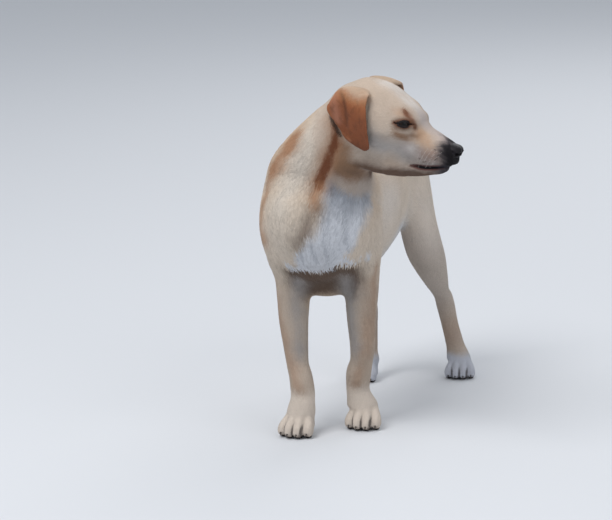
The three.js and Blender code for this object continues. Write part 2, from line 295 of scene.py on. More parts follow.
def loft(rows, around=48, rings=64, grow=0.0, lateral=ACROSS, sheared=False):
    """The closed surface over a table of rings: centre + side * half-width * c + upward * reach * s, where
    c and s are the cosine and sine of the ring's angle, raised to its boxiness, and side is lateral squared
    to the path. Returns its points, quads and triangles, its two end points last."""
    table = filled(rows)
    t = np.linspace(0, 1, rings)
    run, slope = smooth_run(table, t)
    centre, tangent = run[:, :3], unit(slope[:, :3])
    side = np.tile(np.array(lateral, float), (rings, 1))
    side[:, 2] -= run[:, 8]
    if not sheared:
        side = side - tangent * (side * tangent).sum(1, keepdims=True)
    side = unit(side)
    upward = unit(np.cross(tangent, side))
    angle = turns(around)[None, :]
    c = np.sign(np.cos(angle)) * np.abs(np.cos(angle)) ** run[:, 6:7]
    s = np.sign(np.sin(angle)) * np.abs(np.sin(angle)) ** run[:, 6:7]
    wide = (run[:, 3:4] + grow) * c
    tall = (np.where(s > 0, run[:, 4:5], run[:, 5:6]) + grow) * s + run[:, 7:8] * c**2
    skin = centre[:, None] + side[:, None] * wide[..., None] + upward[:, None] * tall[..., None]
    bulge = END_BULGE * run[[0, -1], 3:6].min(1) + grow
    ends = centre[[0, -1]] + tangent[[0, -1]] * bulge[:, None] * np.array([[-1], [1]])
    return strands(ends[:1], skin[None], ends[1:])


def on_head(surface):
    """A closed surface of the head's frame, in the dog's frame."""
    points, quads, triangles = surface
    return from_head(points), quads, triangles


# ---- the skin's field: how far each point of a grid is outside the skin ----
FINE_VOXEL = 1.5
VOXEL = FINE_VOXEL
BAND = 22.0                                     # how far from a part's surface the field is measured
MARGIN = 6.0
grid_low = np.floor(((np.array(cad_box[0]) - SHIFT) / MM - MARGIN) / VOXEL).astype(int)
grid_high = np.ceil(((np.array(cad_box[1]) - SHIFT) / MM + MARGIN) / VOXEL).astype(int)
field = np.full(grid_high - grid_low, BAND, np.float32)


def window(low, high):
    """The block of a grid from its lowest corner to its highest."""
    return tuple(slice(a, b) for a, b in zip(low, high))


def distances(surface, reach):
    """How far the grid's points near a closed surface are outside it, up to reach, and the lowest of them."""
    points, quads, triangles = surface
    level_set = openvdb.FloatGrid.createLevelSetFromPolygons(
        points.astype(np.float32), triangles=triangles.astype(np.uint32),
        quads=quads.astype(np.uint32) if len(quads) else None,
        transform=openvdb.createLinearTransform(VOXEL), halfWidth=reach / VOXEL,
    )
    start = np.clip(np.floor((points.min(0) - reach) / VOXEL).astype(int), grid_low, grid_high)
    stop = np.clip(np.ceil((points.max(0) + reach) / VOXEL).astype(int), grid_low, grid_high)
    values = np.empty(stop - start, np.float32)
    level_set.copyToArray(values, ijk=tuple(int(k) for k in start))
    return values, start


def sampled(measured, points):
    """A distance at each point, between its values at the eight corners round it."""
    values, start = measured
    place = np.clip(points / VOXEL - start, 0, np.array(values.shape) - 1.001)
    cell = place.astype(int)
    share = place - cell
    total = 0
    for corner in range(8):
        towards = np.array([corner & 1, corner >> 1 & 1, corner >> 2])
        weight = np.where(towards, share, 1 - share).prod(1)
        total = total + weight * values[tuple((cell + towards).T)]
    return total


def merge(surface, blend):
    """Joins a closed surface to the field: the lower of the two distances, rounded where they are within
    blend."""
    part, start = distances(surface, BAND)
    room = field[window(start - grid_low, start - grid_low + part.shape)]
    overlap = np.maximum(blend - np.abs(room - part), 0) / blend
    room[...] = np.minimum(room, part) - overlap**2 * (blend / 4)


# ---- feet ----
# A foot's place on the floor, its turn, and its size: width, length and height.
FORE_SIZE, HIND_SIZE = (66.0, 84.0, 44.0), (58.0, 76.0, 38.0)
FEET = {
    "forepaw_left": ((53, 36), 4, FORE_SIZE),
    "forepaw_right": ((-46, -38), -4, FORE_SIZE),
    "hindpaw_left": ((121, 421), 10, HIND_SIZE),
    "hindpaw_right": ((-50, 364), -6, HIND_SIZE),
}
TOES = [(-0.36, 0.36), (-0.125, 0.47), (0.125, 0.47), (0.36, 0.36)]     # across and ahead, in foot sizes
TOE_RADIUS = 0.145
# A toe's rings, from its root to its end: how far across, in shares of its own place; behind its tip, in
# foot lengths; up, in foot heights; then half-width, reach up and reach down, in toe radii.
TOE_RINGS = [
    (0.42, 0.5, 1.0, 0.7, 0.8, 0.8),
    (0.6, 0.38, 0.82, 0.85, 1, 1.1),
    (0.84, 0.25, 0.58, 1, 1.1, 1.35),
    (1, 0.12, 0.34, 1.05, 1.2, 1.5),
    (1, 0.03, 0.17, 0.82, 0.7, 0.9),
]
# The wrist block's rings, from the top down: behind the foot's middle, in foot lengths; up, in foot heights;
# half-width, in foot widths; reach ahead and reach behind, in foot lengths.
WRIST_RINGS = [
    (0.14, 0.95, 0.28, 0.2, 0.2),
    (0.05, 0.7, 0.33, 0.27, 0.28),
    (0.04, 0.3, 0.38, 0.3, 0.3),
    (0.08, 0.02, 0.26, 0.2, 0.22),
    (0.08, -0.05, 0.16, 0.1, 0.1),
]


def at_foot(name, surface):
    """A closed surface of a foot's own frame, toes towards -Y, put at the foot's place on the floor."""
    points, quads, triangles = surface
    (x, y), turn, _ = FEET[name]
    a = math.radians(turn)
    spin = np.array([[math.cos(a), math.sin(a), 0], [-math.sin(a), math.cos(a), 0], [0, 0, 1]])
    return np.asarray(points, float) @ spin + [x, y, 0], quads, triangles


def foot_parts(name, grow):
    """The wrist block of a foot, then its four toes, each with its knuckle standing up and its end rounded
    down."""
    _, _, (width, length, height) = FEET[name]
    tables = [[
        (0, back * length, up * height, side * width, ahead * length, behind * length)
        for back, up, side, ahead, behind in WRIST_RINGS
    ]]
    radius = TOE_RADIUS * width
    for place, reach in TOES:
        out, tip = place * width, -reach * length
        tables.append([
            (across * out, tip + along * length, rise * height, side * radius, above * radius, below * radius)
            for across, along, rise, side, above, below in TOE_RINGS
        ])
    return [at_foot(name, loft(table, 32, 32, grow)) for table in tables]


# ---- the skin ----
COAT_DEPTH = {"body": 2.4, "leg": 1.4, "head": 1.1, "jaw": 1.0, "ear": 0.4, "foot": 0.8, "tail": 1.8}
EAR_BOXINESS = 0.6


def ear_rows(hand):
    """The rows of one ear: hand is 1 on the dog's left and -1 on its right. A boxy ring keeps the edges
    thick."""
    dx, _, dz = EAR_LEFT_SHIFT * (hand > 0)
    return [
        (x + dx, hand * y, z + dz, side, thick, thick, EAR_BOXINESS, -hand * bow, slope)
        for x, y, z, side, thick, bow, slope in EAR
    ]


def soften(centre, radius, passes):
    """Evens out the field inside a ball, most in its middle: each pass takes the mean of a point and its six
    neighbours, and coarser grids take fewer passes."""
    passes = max(4, int(passes * (FINE_VOXEL / VOXEL) ** 2))
    middle = (np.asarray(centre, float) / VOXEL - grid_low).round().astype(int)
    half = int(radius / VOXEL)
    low = np.maximum(middle - half, 1)
    high = np.minimum(middle + half, np.array(field.shape) - 1)
    room = field[window(low, high)]
    even = room.copy()
    for _ in range(passes):
        total = even.copy()
        for axis in range(3):
            total += np.roll(even, 1, axis) + np.roll(even, -1, axis)
        even = total / 7
    axes = [(np.arange(a, b) - m) / half for a, b, m in zip(low, high, middle)]
    x, y, z = np.meshgrid(*axes, indexing="ij")
    share = np.clip(1.25 * (1 - np.sqrt(x * x + y * y + z * z)), 0, 1)
    room += ((even - room) * share * share * (3 - 2 * share)).astype(np.float32)


# Each part of the flesh: its rows, corners and rings, its coat, and how widely its join with the ones
# before is rounded.
HEAD_FLESH = [(SKULL, 72, 120, "head", 16), (JAW[:4], 48, 60, "jaw", 20), (JAW[2:], 48, 60, "jaw", 4)]
BODY_FLESH = [
    (FORELEG_LEFT, 48, 96, "leg", 18),
    (FORELEG_RIGHT, 48, 96, "leg", 18),
    (HINDLEG_LEFT, 48, 96, "leg", 20),
    (HINDLEG_RIGHT, 48, 96, "leg", 20),
    (TAIL, 32, 64, "tail", 12),
]
merge(loft(TRUNK, 72, 96, -COAT_DEPTH["body"]), 1)
merge(loft(NECK, 72, 96, -COAT_DEPTH["body"]), 18)
for rows, around, rings, fur, blend in HEAD_FLESH:
    merge(on_head(loft(rows, around, rings, -COAT_DEPTH[fur], ACROSS_HEAD)), blend)
for rows, around, rings, fur, blend in BODY_FLESH:
    merge(loft(rows, around, rings, -COAT_DEPTH[fur]), blend)
# Places where parts meet, and how far and how strongly their joins are evened out.
SOFT_PLACES = [
    ((0, -80, 372), 75, 60),
    ((10, -62, 440), 60, 30),
    ((70, -20, 440), 55, 30),
    ((-75, -20, 450), 55, 30),
    ((72, 60, 420), 50, 25),
    ((-84, 60, 420), 50, 25),
    ((60, 330, 420), 55, 25),
    ((-62, 325, 420), 55, 25),
    ((40, 404, 452), 50, 40),
    ((-40, 400, 452), 50, 40),
    ((0, 434, 446), 48, 36),
]
for centre, radius, passes in SOFT_PLACES:
    soften(centre, radius, passes)
# Where each foot's joins are evened out: behind its middle and up, in foot lengths and heights, how far and
# how strongly. The last one comes after the toes.
WRIST_SOFT = [(0.1, 1.0, 0.55, 70), (0.34, 0.85, 0.42, 60)]
KNUCKLE_SOFT = (-0.14, 1.0, 0.3, 40)


def soften_foot(name, back, up, reach, passes):
    """Evens out a join of a foot, at a place and a reach in its own lengths and heights."""
    (x, y), _, (_, length, height) = FEET[name]
    soften((x, y + back * length, up * height), reach * length, passes)


for name in FEET:
    block, *toes = foot_parts(name, -COAT_DEPTH["foot"])
    merge(block, 26)
    for join in WRIST_SOFT:
        soften_foot(name, *join)
    for toe in toes:
        merge(toe, 3.2)
    soften_foot(name, *KNUCKLE_SOFT)
EAR_BASE = [(24, 38, 4, 14, 10, 14), (30, 48, 4, 19, 9, 18), (36, 55, 0, 15, 4, 11)]
ear_distance = []
for hand in (1, -1):
    merge(on_head(loft([(x, hand * y, *rest) for x, y, *rest in EAR_BASE], 32, 24)), 10)
    merge(on_head(loft(ear_rows(hand)[:3], 48, 32, -1.0, sheared=True)), 9)
    flap = on_head(loft(ear_rows(hand), 64, 64, -COAT_DEPTH["ear"], sheared=True))
    merge(flap, 2.5)
    ear_distance.append(distances(flap, 12.0))


def outline_of(values):
    """The closed surface where the field is zero, as points and quads that face outwards."""
    grid = openvdb.FloatGrid(BAND)
    grid.transform = openvdb.createLinearTransform(VOXEL)
    grid.copyFromArray(values, ijk=tuple(int(k) for k in grid_low))
    points, _, quads = grid.convertToPolygons(0.0, 0.0)
    return points.astype(float), quads.astype(np.int64)


FOOT_LEVEL = 3.0                                # the skin is cut off level here, above the pads
heights = (np.arange(field.shape[2]) + grid_low[2]) * VOXEL
field = np.maximum(field, (FOOT_LEVEL - heights)[None, None, :].astype(np.float32))
skin, skin_quads = outline_of(field)
del field


def relaxed(points, quads, weight, passes):
    """Each pass moves every point towards the mean of its neighbours by weight, one number or one a point."""
    count = len(points)
    start, stop = quads.ravel(), np.roll(quads, -1, axis=1).ravel()
    neighbours = np.bincount(start, minlength=count)[:, None]
    weight = np.broadcast_to(weight, count)[:, None]
    for _ in range(passes):
        total = np.stack([np.bincount(start, points[stop, k], count) for k in range(3)], -1)
        points = points + weight * (total / neighbours - points)
    return points


def normals_of(points, faces):
    """Each point's outward direction: the sum of its faces' crossed diagonals, or edges on triangles."""
    a, b, c = (points[faces[:, k]] for k in range(3))
    d = points[faces[:, -1]]
    across = np.cross(c - a, d - b) if faces.shape[1] == 4 else np.cross(b - a, c - a)
    total = np.zeros_like(points)
    for k in range(3):
        total[:, k] = np.bincount(faces.ravel(), np.repeat(across[:, k], faces.shape[1]), len(points))
    return unit(total)


def blob(points, centre, radii):
    """1 at centre, fading as a bell of those radii."""
    return np.exp(-(((points - np.asarray(centre, float)) / np.asarray(radii, float)) ** 2).sum(1))


def gap_to(points, path):
    """Distance from each point to a line of straight stretches, in as many axes as the path has."""
    path = np.asarray(path, float)
    nearest = np.full(len(points), np.inf)
    for a, b in zip(path[:-1], path[1:]):
        along = np.clip((points - a) @ (b - a) / ((b - a) @ (b - a)), 0, 1)[:, None]
        nearest = np.minimum(nearest, np.linalg.norm(points - a - along * (b - a), axis=1))
    return nearest


def ridge(points, path, width):
    """1 on a line, fading as a bell to both sides."""
    return np.exp(-((gap_to(points, path) / width) ** 2))


def step(values, start, stop):
    """0 up to start, 1 from stop, and smooth between them. start may be the larger one."""
    t = np.clip((values - start) / (stop - start), 0, 1)
    return t * t * (3 - 2 * t)


def sculpt(points, quads, lift):
    """Moves each point along its normal by lift, in millimetres."""
    return points + normals_of(points, quads) * lift[:, None]


# ---- muscles, bones and folds of the body: centres, radii, height ----
BODY_FORMS = [
    ([(-104, 2, 402), (90, 8, 398)], (18, 34, 52), 2.5),         # shoulders
    ([(-102, 62, 352), (86, 70, 352)], (18, 26, 46), 3.0),       # triceps
    ([(-36, -80, 352), (36, -74, 350)], (24, 30, 36), 3.5),      # sides of the chest
    ([(-70, 56, 270), (55, 76, 272)], (12, 12, 14), 4.5),        # elbows
    ([(74, 300, 400), (-74, 290, 400)], (26, 44, 60), -5.0),     # flanks, drawn in before the thighs
    ([(76, 392, 372), (-76, 384, 372)], (18, 40, 50), 3.0),      # thighs
    ([(76, 340, 262), (-66, 318, 262)], (16, 15, 18), 3.0),      # stifles
    ([(46, 330, 478), (-50, 326, 478)], (18, 26, 14), 3.0),      # hip bones
    ([(86, 466, 150), (-58, 414, 150)], (10, 8, 20), 3.0),       # points of the hocks
    ([(88, 452, 190), (-72, 400, 190)], (7, 9, 24), -2.5),       # hollows between tendon and shin
    ([(-46, -44, 92), (41, 14, 92)], (16, 10, 13), 2.0),         # wrists
    ([(-30, 20, 520)], (30, 26, 26), -2.5),                      # before the right shoulder blade
    ([(0, 60, 262)], (26, 40, 20), 3.0),                         # breastbone between the forelegs
]
# Creases: a line, its width, and its height.
BODY_CREASES = [
    ([(-1, -100, 420), (-1, -90, 330), (-2, -60, 270)], 10, -3.0),    # between the sides of the chest
    ([(-92, -34, 440), (-104, 30, 398), (-96, 60, 330), (-92, 62, 290)], 9, -2.0),    # right foreleg
    ([(84, -26, 440), (96, 40, 398), (84, 74, 330), (76, 78, 296)], 9, -2.0),         # left foreleg
    ([(-8, 40, 505), (-8, 200, 495), (-4, 400, 478)], 9, -1.6),       # along the spine
    ([(60, 434, 410), (72, 420, 350), (76, 412, 290)], 10, -2.2),     # behind the left thigh
    ([(-60, 430, 410), (-72, 412, 350), (-70, 400, 290)], 10, -2.2),  # behind the right thigh
    ([(62, -99, 546), (50, -95, 506), (26, -84, 470), (8, -84, 445)], 9, -2.6),       # side of the neck
    ([(78, -66, 500), (84, -30, 452), (92, 0, 410)], 10, -1.8),       # neck to left shoulder
]
skin = relaxed(skin, skin_quads, 0.5, 3)
lift = sum(height * blob(skin, centre, radii) for centres, radii, height in BODY_FORMS for centre in centres)
lift += sum(depth * ridge(skin, path, width) for path, width, depth in BODY_CREASES)
skin = sculpt(skin, skin_quads, lift)

# ---- the head's forms, on both sides: centre, radii, height ----
HEAD_FORMS = [
    ((120, 33, 7), (18, 12, 9), 2.6),          # brow
    ((146, 0, -6), (16, 11, 12), -2.5),        # stop, between the brows
    ((74, 38, 20), (30, 16, 16), 1.2),         # temple
    ((102, 54, -38), (24, 10, 9), 3.0),        # cheek bone
    ((60, 56, -66), (28, 14, 22), 3.0),        # cheek
    ((129, 42, -17), (24, 14, 17), 2.6),       # round the eye
    ((150, 33, -36), (12, 9, 7), -2.2),        # hollow below the inner eye corner
    ((192, 27, -58), (22, 9, 15), 3.6),        # whisker bed
    ((172, 0, -24), (34, 9, 8), 1.2),          # bridge of the muzzle
    ((204, 0, -90), (12, 18, 8), 1.6),         # chin
    ((219, 0, -68), (10, 14, 8), 4.0),         # front of the upper lip
    ((142, 31, -9), (9, 9, 8), 3.0),           # inner end of the brow
    ((128, 34, -88), (22, 10, 10), -1.5),      # behind the corner of the mouth
]
# Lines on the head. The lips' line, the ears' crease and their roll are seen from the side: x and z alone.
EYE_CORNERS = [[(137, 32.6, -16.2), (144.5, 29.5, -18.5)], [(120, 46.6, -16.2), (117.5, 48, -16)]]
EAR_FRONT = [(67, 54, 14), (66, 57, 4), (66, 58, -6)]
EAR_HOLLOW = [(0, -47, -38), (8, -50, -46), (16, -52, -52), (26, -53, -63)]
LIP_LINE = [(153, -87), (163, -85), (180, -83), (196, -78), (210, -73), (219, -69), (226, -66)]
EAR_CREASE = [(12, 14), (22, 1), (31, -14), (37, -29), (41, -42)]
EAR_ROLL = [(2, -20), (12, -38), (28, -54), (50, -64)]


def head_lift(local):
    """How far each point of the head is raised, for its forms, the furrow of the brow and the line of the
    lips."""
    mirrored = folded(local)
    lift = sum(height * blob(mirrored, centre, radii) for centre, radii, height in HEAD_FORMS)
    lift -= 1.0 * ridge(mirrored, [(60, 0, 34), (100, 0, 24), (140, 0, 4)], 6)
    side = local[:, [0, 2]]
    front = step(local[:, 0], 146, 158)
    lift -= front * 4.0 * ridge(side, LIP_LINE, 2.2)
    above = [(x, z + 5.5) for x, z in LIP_LINE]
    lift += front * 1.6 * ridge(side, above, 4)
    for corner in EYE_CORNERS:
        lift -= 1.0 * ridge(mirrored, corner, 1.8)
    lift -= 1.6 * ridge(mirrored, EAR_FRONT, 3.5)
    outer = step(mirrored[:, 1], 60, 64) * step(local[:, 0], 92, 86)
    lift -= outer * 2.0 * ridge(side, EAR_CREASE, 3.5)
    lift += outer * 1.4 * ridge(side, EAR_ROLL, 5)
    return lift


EYE_AIM = unit(np.array([0.60, 0.78, 0.17]))
LID = 1.5                                       # the lids' thickness
OPENING = (13.6, 4.8, 3.9)                      # half the length of the opening, and its reach up and down
OPENING_SKEW = 0.15                             # how far its widest place lies towards the inner corner
EYE_LEAN = math.radians(5)                      # the inner corner's rise
FAR = 99.0                                      # stands for a distance that is out of reach


def eye_frame(hand):
    """The centre of an eye, and its own axes: across towards the inner corner, up, and out."""
    out = EYE_AIM * [1, hand, 1]
    across = unit(np.cross([0, 0, hand], out)) * -1
    upward = np.cross(across, out) * hand
    lean = math.sin(EYE_LEAN), math.cos(EYE_LEAN)
    across, upward = across * lean[1] + upward * lean[0], upward * lean[1] - across * lean[0]
    return EYE * [1, hand, 1], np.array([across, upward, out])


def lid_edge(u, reach):
    """How far the lid's edge is from the opening's long axis at u: reach * (1 - w^2)^0.8, with w skewed."""
    share = np.clip(u / OPENING[0], -1, 1)
    share = share - OPENING_SKEW * (1 - share**2)
    return reach * np.clip(1 - share**2, 0, 1) ** 0.8


def opening(u, v):
    """How far inside the almond between the lids a place on the eyeball lies, from 0 at the edge to 1."""
    _, above, below = OPENING
    edge = lid_edge(u, np.where(v > 0, above, below))
    return np.clip((edge - np.abs(v)) / 1.2, 0, 1) * (np.abs(u) < OPENING[0])


def on_eye(local, hand):
    """Each point in an eye's own axes, and the place on the ball below it as arc lengths across and up."""
    centre, axes = eye_frame(hand)
    q = (local - centre) @ axes.T
    return q, EYE_RADIUS * np.arctan2(q[:, 0], q[:, 2]), EYE_RADIUS * np.arctan2(q[:, 1], q[:, 2])


def on_ball(u, v, hand, radius):
    """Places on an eyeball from its arc lengths across and up, at a radius from its centre."""
    centre, axes = eye_frame(hand)
    out = unit(np.stack([np.tan(u / EYE_RADIUS), np.tan(v / EYE_RADIUS), np.ones_like(u)], -1))
    return centre + out @ axes * radius


def rim_gap(local, hand):
    """How far a point of the head is from the edge of the opening between the lids, and below 0 inside it."""
    q, u, v = on_eye(local, hand)
    gap = np.full(len(local), FAR)
    near = (q[:, 2] > 0) & (np.linalg.norm(q, axis=1) < EYE_RADIUS * 2.4)
    half, above, below = OPENING
    run = half * np.cos(np.linspace(0, math.pi, 30))
    upper = on_ball(run, lid_edge(run, above), hand, EYE_RADIUS + LID)
    lower = on_ball(run, -lid_edge(run, below), hand, EYE_RADIUS + LID)
    away = gap_to(local[near], np.vstack([upper, lower[-2::-1]]))
    gap[near] = np.where(opening(u[near], v[near]) > 0, -away, away)
    return gap


def eye_gap(local):
    """How far each point is from the nearer eye's opening, and below 0 inside it."""
    return np.minimum(rim_gap(local, 1), rim_gap(local, -1))


def corner_gap(mirrored):
    """How far each point is from the creases at the corners of the eye."""
    return np.minimum(*(gap_to(mirrored, line) for line in EYE_CORNERS))


def lip_gap(local, start):
    """How far each point is from the line between the lips, seen from the side and ahead of start."""
    return gap_to(local[:, [0, 2]], LIP_LINE) + FAR * (local[:, 0] < start)


def lids(local, hand):
    """Lays the skin over the eyeball, LID thick, and draws it in behind the ball inside the almond of the
    opening."""
    centre, axes = eye_frame(hand)
    q, u, v = on_eye(local, hand)
    reach = np.maximum(np.linalg.norm(q, axis=1), 1e-6)
    inside = opening(u, v)
    over = EYE_RADIUS + LID
    wanted = over + np.log1p(np.exp(np.clip((reach - over) / 1.5, -20, 20))) * 1.5
    fold = rim_gap(local, hand) - 4.6
    wanted -= 0.9 * np.exp(-((fold / 1.3) ** 2)) * (v > 0)
    wanted = np.where(inside > 0, over * (1 - inside) + (EYE_RADIUS - 2.5) * inside, wanted)
    weight = step(reach, EYE_RADIUS * 2.2, EYE_RADIUS * 1.45) * step(q[:, 2], 0, 4)
    moved = centre + (q / reach[:, None] * wanted[:, None]) @ axes
    return local + (moved - local) * weight[:, None]


HEAD_REACH = 155
in_head = np.linalg.norm(skin - from_head(HEAD_MIDDLE), axis=1) < HEAD_REACH
local = to_head(skin[in_head])
lift = np.zeros(len(skin))
lift[in_head] = head_lift(local)
skin = sculpt(skin, skin_quads, lift)
local = to_head(skin[in_head])
for hand in (1, -1):
    local = lids(local, hand)
skin[in_head] = from_head(local)


# ---- materials ----
def shade(red, green, blue):
    """A colour as it looks on a screen, from 0 to 255, as the linear one that the shaders take."""
    c = np.array([red, green, blue]) / 255
    return np.where(c <= 0.04045, c / 12.92, ((c + 0.055) / 1.055) ** 2.4)


class Nodes:
    """Short calls for a material's node tree. Inputs are named by their sockets, with _ for a space."""

    def __init__(self, name):
        self.material = bpy.data.materials.new(name)
        self.material.use_nodes = True
        self.tree = self.material.node_tree
        self.shader = self.tree.nodes["Principled BSDF"]

    def put(self, node, **inputs):
        """Links an input to a socket, or sets its own number or colour."""
        for name, value in inputs.items():
            socket = node.inputs[name.replace("_", " ")]
            if isinstance(value, bpy.types.NodeSocket):
                self.tree.links.new(value, socket)
            else:
                socket.default_value = value

    def add(self, kind, **inputs):
        """A new node with its inputs."""
        node = self.tree.nodes.new(kind)
        self.put(node, **inputs)
        return node

    def finish(self, **inputs):
        """The shader's own inputs, and the material they make."""
        self.put(self.shader, **inputs)
        return self.material

    def carried(self, name):
        """A value that the mesh carries at each point."""
        node = self.add("ShaderNodeAttribute")
        node.attribute_name = name
        return node.outputs

    def noise(self, scale, detail=3, stretch=None):
        """Noise on Object coordinates, scale in repeats a metre, squeezed by stretch along each axis."""
        place = self.add("ShaderNodeTexCoord").outputs["Object"]
        if stretch:
            place = self.add("ShaderNodeMapping", Vector=place, Scale=stretch).outputs["Vector"]
        return self.add("ShaderNodeTexNoise", Vector=place, Scale=scale, Detail=detail).outputs["Fac"]

    def between(self, value, low, high):
        """A noise's value, spread from low to high."""
        ends = {"From_Min": 0.25, "From_Max": 0.75, "To_Min": low, "To_Max": high}
        node = self.add("ShaderNodeMapRange", Value=value, **ends)
        return node.outputs["Result"]

    def ramp(self, value, *stops):
        """Colours along a value, each stop being its place and its colour."""
        node = self.add("ShaderNodeValToRGB", Fac=value)
        for index, (place, colour) in enumerate(stops):
            element = node.color_ramp.elements[index] if index < 2 else node.color_ramp.elements.new(place)
            element.position = place
            element.color = (*colour, 1)
        return node.outputs["Color"]

    def bump(self, height, distance):
        """Normals that tilt as if the surface rose by height times distance, in metres."""
        return self.add("ShaderNodeBump", Height=height, Distance=distance, Strength=1.0).outputs["Normal"]

    def times(self, colour, value):
        """A colour made lighter or darker by a value."""
        node = self.add("ShaderNodeVectorMath")
        node.operation = "SCALE"
        self.tree.links.new(colour, node.inputs[0])
        self.put(node, Scale=value)
        return node.outputs["Vector"]


def painted(name, fine, depth, lanes=False):
    """Hair: the painted markings, lighter and darker in fine and broad patches, with a fine bump. On a tuft
    the bump is of single hairs: noise across its width, by the attribute "lane", which stays the same along
    it."""
    n = Nodes(name)
    broad = n.times(n.carried("marking")["Color"], n.between(n.noise(22, 2), 0.94, 1.06))
    if lanes:
        hairs = n.add("ShaderNodeTexNoise")
        hairs.noise_dimensions = "1D"
        n.put(hairs, W=n.carried("lane")["Fac"], Scale=3.0)
        grain = hairs.outputs["Fac"]
        colour = n.times(broad, n.between(grain, 0.88, 1.1))
    else:
        grain = n.noise(fine, 4)
        colour = n.times(broad, n.between(grain, 0.9, 1.1))
    return n.finish(
        Base_Color=colour, Roughness=n.between(n.noise(fine / 2, 2), 0.62, 0.8), Normal=n.bump(grain, depth),
        Specular_IOR_Level=0.16, Sheen_Weight=0.05, Sheen_Roughness=0.5,
    )


def leather(name, dark, light, grain, rough):
    """Bare skin: two shades in patches, and a pebbled grain that is grain repeats a metre."""
    n = Nodes(name)
    cells = n.add("ShaderNodeTexVoronoi", Scale=grain, Vector=n.add("ShaderNodeTexCoord").outputs["Object"])
    return n.finish(
        Base_Color=n.ramp(n.noise(grain / 6), (0.35, dark), (0.7, light)),
        Roughness=n.between(n.noise(grain / 3), rough - 0.08, rough + 0.1),
        Normal=n.bump(cells.outputs["Distance"], 0.25 / grain), Specular_IOR_Level=0.2,
    )


def horn(name, dark, light):
    """Claw: streaked along the foot, and smooth."""
    n = Nodes(name)
    streaks = n.noise(500, 3, (1, 0.15, 0.4))
    return n.finish(
        Base_Color=n.ramp(streaks, (0.35, dark), (0.7, light)), Roughness=n.between(streaks, 0.3, 0.5),
        Normal=n.bump(streaks, 0.0002),
    )


def eyeball_finish(name):
    """Dark brown iris round a black pupil, by the angle from the middle of the eye, under a wet coat."""
    n = Nodes(name)
    colour = n.ramp(
        n.carried("away")["Fac"],
        (0.075, shade(4, 3, 3)), (0.09, shade(20, 12, 9)), (0.13, shade(34, 21, 14)),
        (0.2, shade(25, 16, 11)), (0.235, shade(9, 7, 6)), (0.27, shade(38, 31, 28)),
    )
    return n.finish(
        Base_Color=n.times(colour, n.between(n.noise(1500, 2), 0.8, 1.2)),
        Roughness=n.between(n.noise(300, 2), 0.04, 0.1),
        Specular_IOR_Level=0.1, Coat_Weight=0.3, Coat_Roughness=0.03,
    )


# ---- pieces ----
def linked(name, data):
    """A new object of the scene, at the origin."""
    made = bpy.data.objects.new(name, data)
    bpy.context.scene.collection.objects.link(made)
    return made


def carry(made, name, kind, values):
    """Gives each point of a piece a value that its material reads."""
    layer = made.data.attributes.new(name, kind, "POINT")
    layer.data.foreach_set("color" if kind == "FLOAT_COLOR" else "value", values.astype(np.float32).ravel())


def paint_on(made, colours):
    """Gives each point of a piece its marking's colour."""
    carry(made, "marking", "FLOAT_COLOR", np.c_[colours, np.ones(len(colours))])


def piece(name, points, faces, material, normals=None):
    """A smooth mesh of points in the dog's frame, with one material, that rides on the still body."""
    mesh = bpy.data.meshes.new(name)
    mesh.vertices.add(len(points))
    mesh.vertices.foreach_set("co", to_row(points).astype(np.float32).ravel())
    corners = np.concatenate([f.ravel() for f in faces])
    sizes = np.concatenate([np.full(len(f), f.shape[1]) for f in faces])
    mesh.loops.add(len(corners))
    mesh.loops.foreach_set("vertex_index", corners.astype(np.int32))
    mesh.polygons.add(len(sizes))
    mesh.polygons.foreach_set("loop_start", (np.cumsum(sizes) - sizes).astype(np.int32))
    mesh.update(calc_edges=True)
    mesh.shade_smooth()
    if normals is not None:
        mesh.normals_split_custom_set_from_vertices(normals)
    mesh.materials.append(material)
    made = linked(name, mesh)
    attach(made, "root")
    return made


def joined(surfaces):
    """Several surfaces of points, quads and triangles as one."""
    points, quads, triangles, count = [], [], [], 0
    for p, q, t in surfaces:
        points.append(p)
        quads.append(q + count)
        triangles.append(t + count)
        count += len(p)
    return np.vstack(points), [np.vstack(quads), np.vstack(triangles)]


# ---- the skin's mesh, thinned where it is flat ----
MOST_FACES = 190_000
fine = bpy.data.meshes.new("fine_skin")
fine.from_pydata(skin, [], skin_quads)
holder = linked("fine_skin", fine)
thin = holder.modifiers.new("thin", "DECIMATE")
thin.ratio = min(1.0, MOST_FACES / (2 * len(skin_quads)))
evaluated = holder.evaluated_get(bpy.context.evaluated_depsgraph_get())
thinned = evaluated.to_mesh()
thinned.calc_loop_triangles()
skin = np.empty(len(thinned.vertices) * 3)
thinned.vertices.foreach_get("co", skin)
skin = skin.reshape(-1, 3)
faces = np.empty(len(thinned.loop_triangles) * 3, np.int64)
thinned.loop_triangles.foreach_get("vertices", faces)
faces = faces.reshape(-1, 3)
evaluated.to_mesh_clear()
bpy.data.objects.remove(holder)
bpy.data.meshes.remove(fine)
skin_normals = normals_of(skin, faces)


# ---- markings ----
WHISKER_ROOTS = np.array([
    (205 - 8.5 * k - 3 * row, 27.5 + 0.5 * k, height + 0.25 * k)
    for row, (height, count) in enumerate([(-46, 4), (-53, 5), (-60, 5), (-67, 4)]) for k in range(count)
])
TAN = shade(202, 180, 157)
CREAM = shade(205, 194, 181)
PALE = shade(216, 210, 205)
WHITE = shade(206, 208, 213)
GREY = shade(172, 169, 168)
DARK_GREY = shade(66, 63, 70)
BLACK = shade(22, 19, 22)
BROWN = shade(116, 92, 76)
ORANGE = shade(186, 140, 104)
OLD_ORANGE = shade(160, 116, 84)
DULL_ORANGE = shade(166, 138, 117)
STRIPE = shade(120, 71, 46)
SMUDGE = shade(118, 102, 91)
UNDER_SHADE = shade(84, 66, 54)
CHEST_SHADE_AND_STREAK_GREY = shade(150, 154, 162)
THROAT_SHADOW_GREY = shade(120, 122, 127)
THROAT_TAN_IN_SHADE = shade(150, 118, 92)
LEG_SHADED_TAN = shade(178, 164, 151)
